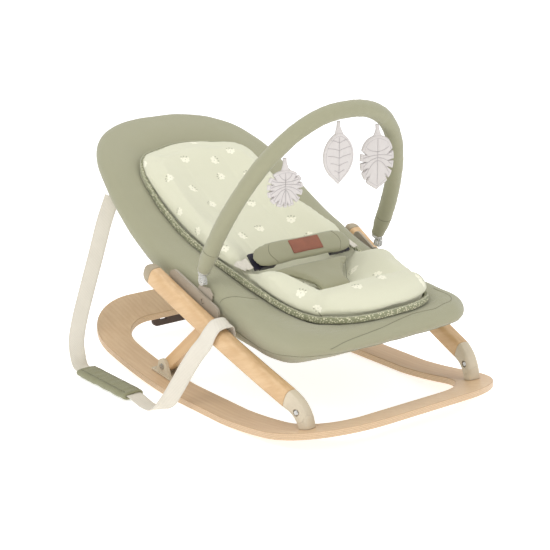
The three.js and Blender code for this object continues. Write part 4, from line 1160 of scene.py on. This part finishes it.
def leaf(toy, cloth, thread):
    y0, width, height = toy["y"], toy["width"], toy["height"]
    hang = arch_at(y0)
    slope = abs((arch_at(y0 + 2)[2] - arch_at(y0 - 2)[2]) / 4)
    top = -(BAR["radius"] * math.hypot(1, slope) + 3.5 * slope + 4.4)
    middle = top - toy["neck"] - height / 2 + 1
    turn = math.radians(toy["turn"])
    wide = np.array([-math.sin(turn), math.cos(turn), 0])
    deep = np.array([math.cos(turn), math.sin(turn), 0])

    def world(u, v, w):
        return hang + u * wide + (middle + v) * np.array([0, 0, 1.0]) + w * deep

    count = 240
    rim = leaf_rim(toy, count)
    fractions = [1, 0.985, 0.955, 0.91, 0.85, 0.77, 0.67, 0.55, 0.42, 0.28, 0.14]

    def puffed(u, v, f):
        edge = float(quarter((1 - f) * 5.5))
        fold = 0.4 * math.sin(u * 0.45 + y0) * math.sin(v * 0.33)
        seam = 0.8 * math.exp(-(((f - 0.87) / 0.03) ** 2)) + 0.7 * math.exp(-((u / 1.6) ** 2))
        return max(0.35, 1.0 + (2.7 + fold - seam) * edge)

    points, faces = [], []
    for sign in (1, -1):
        start = len(points)
        for f in fractions:
            points += [world(u * f, v * f, sign * puffed(u * f, v * f, f)) for u, v in rim]
        points.append(world(0, 0, sign * puffed(0, 0, 0)))
        for k in range(len(fractions) - 1):
            a, b = start + k * count, start + (k + 1) * count
            faces += [(a + j, a + (j + 1) % count, b + (j + 1) % count, b + j) for j in range(count)]
        a = start + (len(fractions) - 1) * count
        faces += [(a + j, a + (j + 1) % count, len(points) - 1) for j in range(count)]
    half = len(fractions) * count + 1
    faces += [(j, (j + 1) % count, half + (j + 1) % count, half + j) for j in range(count)]
    body = mesh_object(f"{toy['name']}_stuffed", row(points), faces, cloth)

    rims = np.linalg.norm(rim, axis=1)
    angles = np.arctan2(rim[:, 0], rim[:, 1])
    order = np.argsort(angles)

    def surface(u, v, sign):
        edge = np.interp(math.atan2(u, v), angles[order], rims[order], period=2 * math.pi)
        return world(u, v, sign * (puffed(u, v, min(math.hypot(u, v) / edge, 1)) + 0.1))

    lines = []
    for sign in (1, -1):
        lines.append((f"edge{sign}", [surface(u * 0.87, v * 0.87, sign) for u, v in rim], True))
        rib = [surface(0, v, sign) for v in np.linspace(0.42 * height, -0.42 * height, 30)]
        lines.append((f"rib{sign}", rib, False))
        for way in (1, -1):
            for at, reach in toy["veins"]:
                a = math.radians(at)
                far = np.interp(a, angles[order], rims[order], period=2 * math.pi) * reach
                u1, v1 = far * math.sin(a), far * math.cos(a)
                v0 = v1 * 0.35 + 0.1 * height
                vein = [(way * u1 * t, v0 + (v1 - v0) * t * t) for t in np.linspace(0.03, 1, 14)]
                lines.append((f"vein{sign}{at}{way}", [surface(u, v, sign) for u, v in vein], False))
            for k in range(5 if not toy["veins"] else 0):
                v0 = height * (0.3 - 0.15 * k)
                reach = width * (0.27, 0.37, 0.38, 0.29, 0.17)[k]
                vein = [(way * reach * t, v0 + 9 * t - 4 * t * t) for t in np.linspace(0.03, 1, 12)]
                lines.append((f"vein{sign}{k}{way}", [surface(u, v, sign) for u, v in vein], False))
    tubes = [tube(name, line, 0.36, thread, 6, guide=deep, closed=closed) for name, line, closed in lines]
    stitches = merge(f"{toy['name']}_stitching", tubes)

    loops = []
    low, high = height / 2 - 7, top - middle + 2.2
    for t in np.linspace(0, 1, 15):
        narrow = 6.5 + 10.5 * (1 - smooth(t * 1.25))
        sway = 0.5 * math.sin(t * 5 + y0)
        centre = world(sway, low + (high - low) * t, 0)
        loops.append(flat_loop(centre, narrow, 3.4 - 0.8 * t, wide, deep, 0.8, 20))
    neck = skinned(f"{toy['name']}_neck", loops, cloth)
    roughen(neck, 0.0003, 90.0, 3.0)
    child = f"{toy['name']}_toy"
    finish_piece(body, child, "toy_felt", f"toy_{toy['name']}")
    finish_piece(stitches, child, "toy_felt")
    finish_piece(neck, child, "toy_felt")


WEBBING_WIDTH = 27.0
WEBBING_THICKNESS = 2.4
WEBBING_SIDES = 20
WEBBING_POWER = 0.4


def strip_coordinates(obj, line):
    reach = np.concatenate([[0], np.cumsum(np.linalg.norm(np.diff(line, axis=0), axis=1))])
    uv, rim = [], []
    for i in range(len(line)):
        for j in range(WEBBING_SIDES):
            across = bent(math.cos(2 * math.pi * (j + 0.5) / WEBBING_SIDES), WEBBING_POWER)
            uv.append((reach[i] / 1000, across * WEBBING_WIDTH / 2000, 0))
            rim.append(abs(across))
    attribute(obj, "strip", uv, "FLOAT_VECTOR")
    attribute(obj, "selvedge", rim)


# ---------------------------------------------------------------- lap belt
def belt_centre(t):
    return np.array([BELT["x"] - 8 * t * t, t * BELT["half"], BELT["z"] - 4 * t * t])


FACE = np.array([math.cos(BELT["tilt"]), 0, math.sin(BELT["tilt"])])
UP = np.array([-math.sin(BELT["tilt"]), 0, math.cos(BELT["tilt"])])


def belt_size(t):
    end = math.sqrt(max(0.05, 1 - abs(t) ** 7))
    return BELT["height"] * end, BELT["thickness"] * end


def pad_centre(t):
    """Middle line of the belt's padding, a little longer than the CAD pad and drooping at its ends."""
    place = belt_centre(t) + 1.0 * UP
    place[1] = t * (BELT["half"] + 7)
    place[2] -= 3.0 * t**4
    return place


def belt_pad(paint, thread):
    loops = []
    for t in np.sin(np.linspace(-math.pi / 2, math.pi / 2, 61)):
        height, thick = belt_size(t)
        loops.append(flat_loop(pad_centre(t), height * 1.12, thick * 0.9, UP, FACE, 0.7, 24))
    pad = skinned("belt_pad_fabric", loops, paint)
    puff(pad, 0.0036, 0.0035)
    subdivide(pad, 1)
    roughen(pad, 0.0008, 40.0, 6.0)
    finish_piece(pad, "seat", "sage_fabric", "belt_pad")
    lines = []
    for way in (-1, 1):
        arc = [(way * (0.66 + 0.13 * math.cos(s * 1.35)), s) for s in np.linspace(-1, 1, 24)]
        line = []
        for t, s in arc:
            height, _ = belt_size(t)
            p = belt_centre(t) + UP * s * height * 0.47
            place = hit(pad, p + FACE * 30, -FACE)
            if place is not None:
                line.append(place)
        lines.append(tube(f"belt_seam_{way}", line, 0.5, thread, 6, guide=FACE))
    finish_piece(merge("belt_pad_seams", lines), "seat", "sage_fabric")
    return pad


def belt_label(pad, paint, thread):
    """A blank leather patch sewn to the belt pad, lying on its surface."""
    half_w, half_h, thick, corner = 31.0, 12.5, 1.2, 2.0
    rim = []
    for cx, cy, start in ((1, 1, 0), (-1, 1, 90), (-1, -1, 180), (1, -1, 270)):
        for a in np.linspace(start, start + 90, 7):
            rim.append((cx * (half_w - corner) + corner * math.cos(math.radians(a)),
                        cy * (half_h - corner) + corner * math.sin(math.radians(a))))
    rim = np.array(rim)

    def place(u, v, lift):
        start = belt_centre((u - 2) / BELT["half"]) + UP * (v + 2) + FACE * 40
        return hit(pad, start, -FACE) + FACE * (0.45 + lift)

    loops = []
    for scale, lift in ((0.0, 0.0), (0.5, 0.0), (0.97, 0.0), (1.0, 0.25), (1.0, thick - 0.3), (0.975, thick),
                        (0.9, thick + 0.05), (0.6, thick + 0.2), (0.3, thick + 0.2), (0.0, thick + 0.2)):
        loops.append([place(u * scale, v * scale, lift) for u, v in rim])
    patch = skinned("belt_label_leather", loops, paint, caps=False)
    repair(patch.data, weld=True, normals=False)
    finish_piece(patch, "seat", "terracotta_leather", "belt_label")
    dashes = []
    loop = even(np.vstack([rim * np.array([0.94, 0.87]), rim[:1] * np.array([0.94, 0.87])]), 121)
    for k in range(0, 120, 2):
        (u0, v0), (u1, v1) = loop[k], loop[k + 1]
        middle = place(u0 * 0.5 + u1 * 0.5, v0 * 0.5 + v1 * 0.5, thick + 0.35)
        line = [place(u0, v0, thick - 0.1), middle, place(u1, v1, thick - 0.1)]
        dashes.append(tube(f"dash{k}", line, 0.28, thread, 5, guide=FACE))
    finish_piece(merge("belt_label_stitches", dashes), "seat", "terracotta_leather")


def crotch_pad(paint, thread):
    route = np.array([(58, 216, 168, -28), (70, 211, 146, -24), (88, 204.5, 106, -20), (112, 196, 74, -22),
                      (131, 187, 66, -30)], float)
    fine = spline(route, 44)
    loops, edges = [], ([], [])
    for k, (x, z, width, slope) in enumerate(fine):
        turn = math.radians(slope)
        out = np.array([-math.sin(turn), 0, math.cos(turn)])
        end = math.sqrt(max(0.1, 1 - (abs(k / 22 - 1)) ** 10))
        loops.append(flat_loop((x, 0, z), width * 0.96, 8.2 * end, (0, 1, 0), out, 0.62, 28))
        for which, side in enumerate((-1, 1)):
            if 3 < k < 41:
                edges[which].append((np.array([x, side * (width / 2 - 5), z]), out))
    pad = skinned("crotch_pad_fabric", loops, paint)
    puff(pad, 0.0036, 0.003)
    subdivide(pad, 1)
    roughen(pad, 0.0009, 34.0, 12.0)
    finish_piece(pad, "seat", "sage_fabric", "crotch_pad")
    piping = []
    for k, line in enumerate(edges):
        hem = []
        for point, out in line:
            place = hit(pad, point + out * 20, -out)
            if place is not None:
                hem.append(place)
        piping.append(tube(f"crotch_hem_{k}", hem, 0.45, thread, 8))
    finish_piece(merge("crotch_pad_piping", piping), "seat", "sage_fabric")


def belt_webbing(paint):
    back = -FACE * (BELT["thickness"] / 2 + 6.5)
    tx, tz = BELT["x"] - 6 + back[0], BELT["z"] - 3 + back[2]

    def slot_top(x, y):
        xy = np.array([[x, y]])
        return float(cushion_top(xy, inset_of(CUSHION_PLAN, xy))[0]) + BELT["rise"]

    for name, side in SIDES:
        route = []
        for x, y, z in ((tx, 103, tz), (tx - 2, 110, tz - 3), (tx - 3, 117, 0), (tx - 3, 121, 0)):
            route.append((x, side * y, max(z, slot_top(x, y))))
        route[-1] = (route[-1][0], route[-1][1], route[-1][2] - 0.5)
        made, _ = webbing(f"belt_webbing_strap_{name}", route, [(1, 0, -0.3)] * 4, 30, paint)
        finish_piece(made, f"belt_tongue_{name}", "webbing", f"belt_webbing_{name}")


def webbing(name, route, widths, count, paint, span=slice(None)):
    line = spline(route, count)
    across = spline(widths, count)
    way = tangents(line)
    loops = []
    for p, w, t in zip(line, across, way):
        along = w - t * np.dot(w, t)
        along /= np.linalg.norm(along)
        out = np.cross(t, along)
        loops.append(flat_loop(p, WEBBING_WIDTH, WEBBING_THICKNESS, along, out, WEBBING_POWER, WEBBING_SIDES))
    loops, line, way = loops[span], line[span], way[span]
    # A hair-thin ring at each end keeps the end face's shading off the strap, so two lengths meet without a line.
    loops = [np.array(loops[0]) - 0.05 * way[0], *loops, np.array(loops[-1]) + 0.05 * way[-1]]
    strap = skinned(name, loops, paint)
    strip_coordinates(strap, np.vstack([line[:1], line, line[-1:]]))
    return strap, line


# ---------------------------------------------------------------- carry strap
ARM_TOP = (0.93, 0, -0.37)
HANGING = (0.62, 0.78, 0)
STRAP_ROUTE = [
    ((84, -181.8, 136), ARM_TOP), ((84, -182, 146), ARM_TOP), ((84, -185, 154.5), ARM_TOP),
    ((83, -197, 156.5), ARM_TOP), ((82, -209, 154), ARM_TOP), ((78, -215.5, 144), (0.94, 0.1, -0.3)),
    ((68, -220, 124), (0.9, 0.35, -0.15)), ((54, -227, 103), (0.82, 0.57, 0)),
    ((41, -236, 77), (0.77, 0.64, 0)), ((29, -247, 47), (0.72, 0.7, 0)), ((18, -259, 20), (0.6, 0.8, 0)),
    ((0, -267, 4.6), (0.25, 0.97, 0)), ((-24, -269, 3), (0, 1, 0)), ((-44, -269, 6), (0, 1, 0)),
    ((-58, -269, 8.8), (0, 1, 0)), ((-144, -269, 8.8), (0, 1, 0)), ((-216, -269, 8.8), (0, 1, 0)),
    ((-229, -271, 13), (0.15, 0.99, 0)), ((-240, -270, 32), (0.4, 0.92, 0)),
    ((-252, -264, 52), (0.55, 0.83, 0)), ((-262, -251, 82), HANGING), ((-272, -229, 128), HANGING),
    ((-277, -205, 187), HANGING), ((-279, -184, 245), HANGING), ((-277.5, -167, 287), HANGING),
]
STRAP_STOPS = 230
GRIP = dict(rear=-216, front=-66, y=-269, z=8.8, width=40, thickness=15.5, bore=30, bore_height=5.4)


def carry_strap(paint, grip_paint, thread):
    route, widths = [p for p, _ in STRAP_ROUTE], [w for _, w in STRAP_ROUTE]
    whole = spline(route, STRAP_STOPS)
    split = int(np.argmax((whole[:, 0] < -200) & (whole[:, 2] > 112)))
    strap, line = webbing("carry_strap_webbing", route, widths, STRAP_STOPS, paint, span=slice(0, split + 1))
    rear, rear_line = webbing("carry_strap_rear_end", route, widths, STRAP_STOPS, paint, span=slice(split, None))
    for piece in (strap, rear):
        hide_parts("carry_strap")
    stops = 61
    loops = []
    for k in range(stops):
        t = 0.5 - 0.5 * math.cos(math.pi * k / (stops - 1))
        x = GRIP["rear"] + (GRIP["front"] - GRIP["rear"]) * t
        end = max(0.0, 1 - abs(2 * t - 1) ** 12)
        waist = 1 - 0.05 * math.sin(math.pi * t) ** 2
        swell = (0.72 + 0.28 * end**0.5) * (1 + 0.04 * math.sin(t * 60))
        loops.append(flat_loop((x, GRIP["y"], GRIP["z"] - 0.6), GRIP["width"] * waist * (0.9 + 0.1 * end**0.5),
                               (GRIP["thickness"] - 1.6) * swell, (0, 1, 0), (0, 0, 1), 0.7, 32))
    bore = GRIP["bore"], GRIP["bore_height"]
    inside = [flat_loop((p[0][0], GRIP["y"], GRIP["z"]), *bore, (0, 1, 0), (0, 0, 1), 0.5, 32) for p in loops[::-1]]
    grip = skinned("strap_grip_pad", loops + inside, grip_paint, closed=True)
    subdivide(grip, 1)
    roughen(grip, 0.0013, 34.0, 9.0, (1.6, 0.7, 1))
    finish_piece(grip, "base", "sage_fabric", "strap_grip")
    lines = []
    for side in (-1, 1):
        edge = [(x, GRIP["y"] + side * (GRIP["width"] / 2 - 6.5), GRIP["z"] + 6.6)
                for x in np.linspace(GRIP["rear"] + 6, GRIP["front"] - 6, 40)]
        lines.append(tube(f"grip_stitch_{side}", edge, 0.45, thread, 6))
    seam = merge("strap_grip_stitching", lines)
    finish_piece(seam, "base", "sage_fabric")
    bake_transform(strap)
    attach(rear, "seat")
    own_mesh(rear)


# ---------------------------------------------------------------- the whole seat
make_camera()
webbing_paint = webbing_weave()
sage = woven("sage_cloth", SAGE)
sage_thread = woven("sage_thread", SAGE_DARK, thread=0.0005, mottle=0.03)
grip_cloth = woven("grip_cloth", srgb(142, 141, 108))
carry_strap(webbing_paint, grip_cloth, sage_thread)

plywood_paint = plywood(srgb(217, 188, 152), srgb(208, 176, 139))
ARM_TURN = (0, math.atan2(126, 314), 0)
arm_wood = timber("arm_wood", srgb(214, 181, 138), srgb(201, 165, 120), ARM_TURN)
leg_wood = timber("leg_wood", srgb(217, 183, 139), srgb(204, 167, 121), (0, 0.711, 0))
cap_plastic = moulded("cap_plastic", srgb(165, 152, 128))
beige_plastic = moulded("beige_plastic", srgb(200, 188, 165))
grey_plastic = moulded("grey_plastic", srgb(158, 148, 132))
# Painted shade: the stand plate and its lugs are coloured as dark as they look in the shadow under the rear bar.
brown_plastic = moulded("brown_plastic", srgb(66, 48, 36), 0.5)
dark_plastic = moulded("dark_plastic", srgb(46, 43, 58), 0.35)
clear = clear_plastic()
steel = metal("steel", srgb(200, 200, 198))
tube_metal = metal("tube_metal", srgb(150, 150, 150), 0.4)
lilac = woven("lilac_cloth", LILAC, thread=0.0008, mottle=0.03)
lilac_thread = woven("lilac_thread", STITCH, thread=0.0005, mottle=0.03)
olive_thread = woven("olive_thread", srgb(186, 186, 158), thread=0.0005, mottle=0.03)
leather_paint = leather()
leather_thread = woven("leather_thread", srgb(150, 92, 76), thread=0.0004, mottle=0.03)

rocker_ring(plywood_paint)
arms(arm_wood, cap_plastic)
seat_body(sage, sage_thread)
cushion_body(printed_cotton())
cushion_edge(speckled_cotton(), olive_thread)
toy_bar(sage, sage_thread)
for toy in TOYS:
    leaf(toy, lilac, lilac_thread)
belt_label(belt_pad(sage, sage_thread), leather_paint, leather_thread)
crotch_pad(sage, sage_thread)
belt_webbing(webbing_paint)

KEPT_PAIRS = (  # node, finish, bevel and, for the legs, its angle and segments
    ("arm_knuckle", beige_plastic, 0),
    ("front_foot", beige_plastic, 0),
    ("arm_pivot_screw", steel, 0),
    ("leg", leg_wood, 0.0018, 50, 3),
    ("leg_bracket", beige_plastic, 0.0007),
    ("leg_pin", steel, 0),
    ("stand_lug", brown_plastic, 0.0006),
    ("recline_rail", grey_plastic, 0.0008),
    ("seat_bracket", grey_plastic, 0.0005),
    ("bar_socket", clear, 0.0004),
    ("bar_clip", clear, 0.0004),
    ("buckle", dark_plastic, 0.0007),
    ("buckle_tongue", dark_plastic, 0.0005),
    ("buckle_button", dark_plastic, 0.0004),
)
for stem, *finish in KEPT_PAIRS:
    for name, _ in SIDES:
        keep_node(f"{stem}_{name}", *finish)
# The stand plate's dark colour carries painted shade, as set with its material above.
keep_node("stand_plate", brown_plastic, 0.0009)
keep_node("stand_pin", steel, 0)
keep_node("seat_frame", tube_metal, 0)

make_studio()
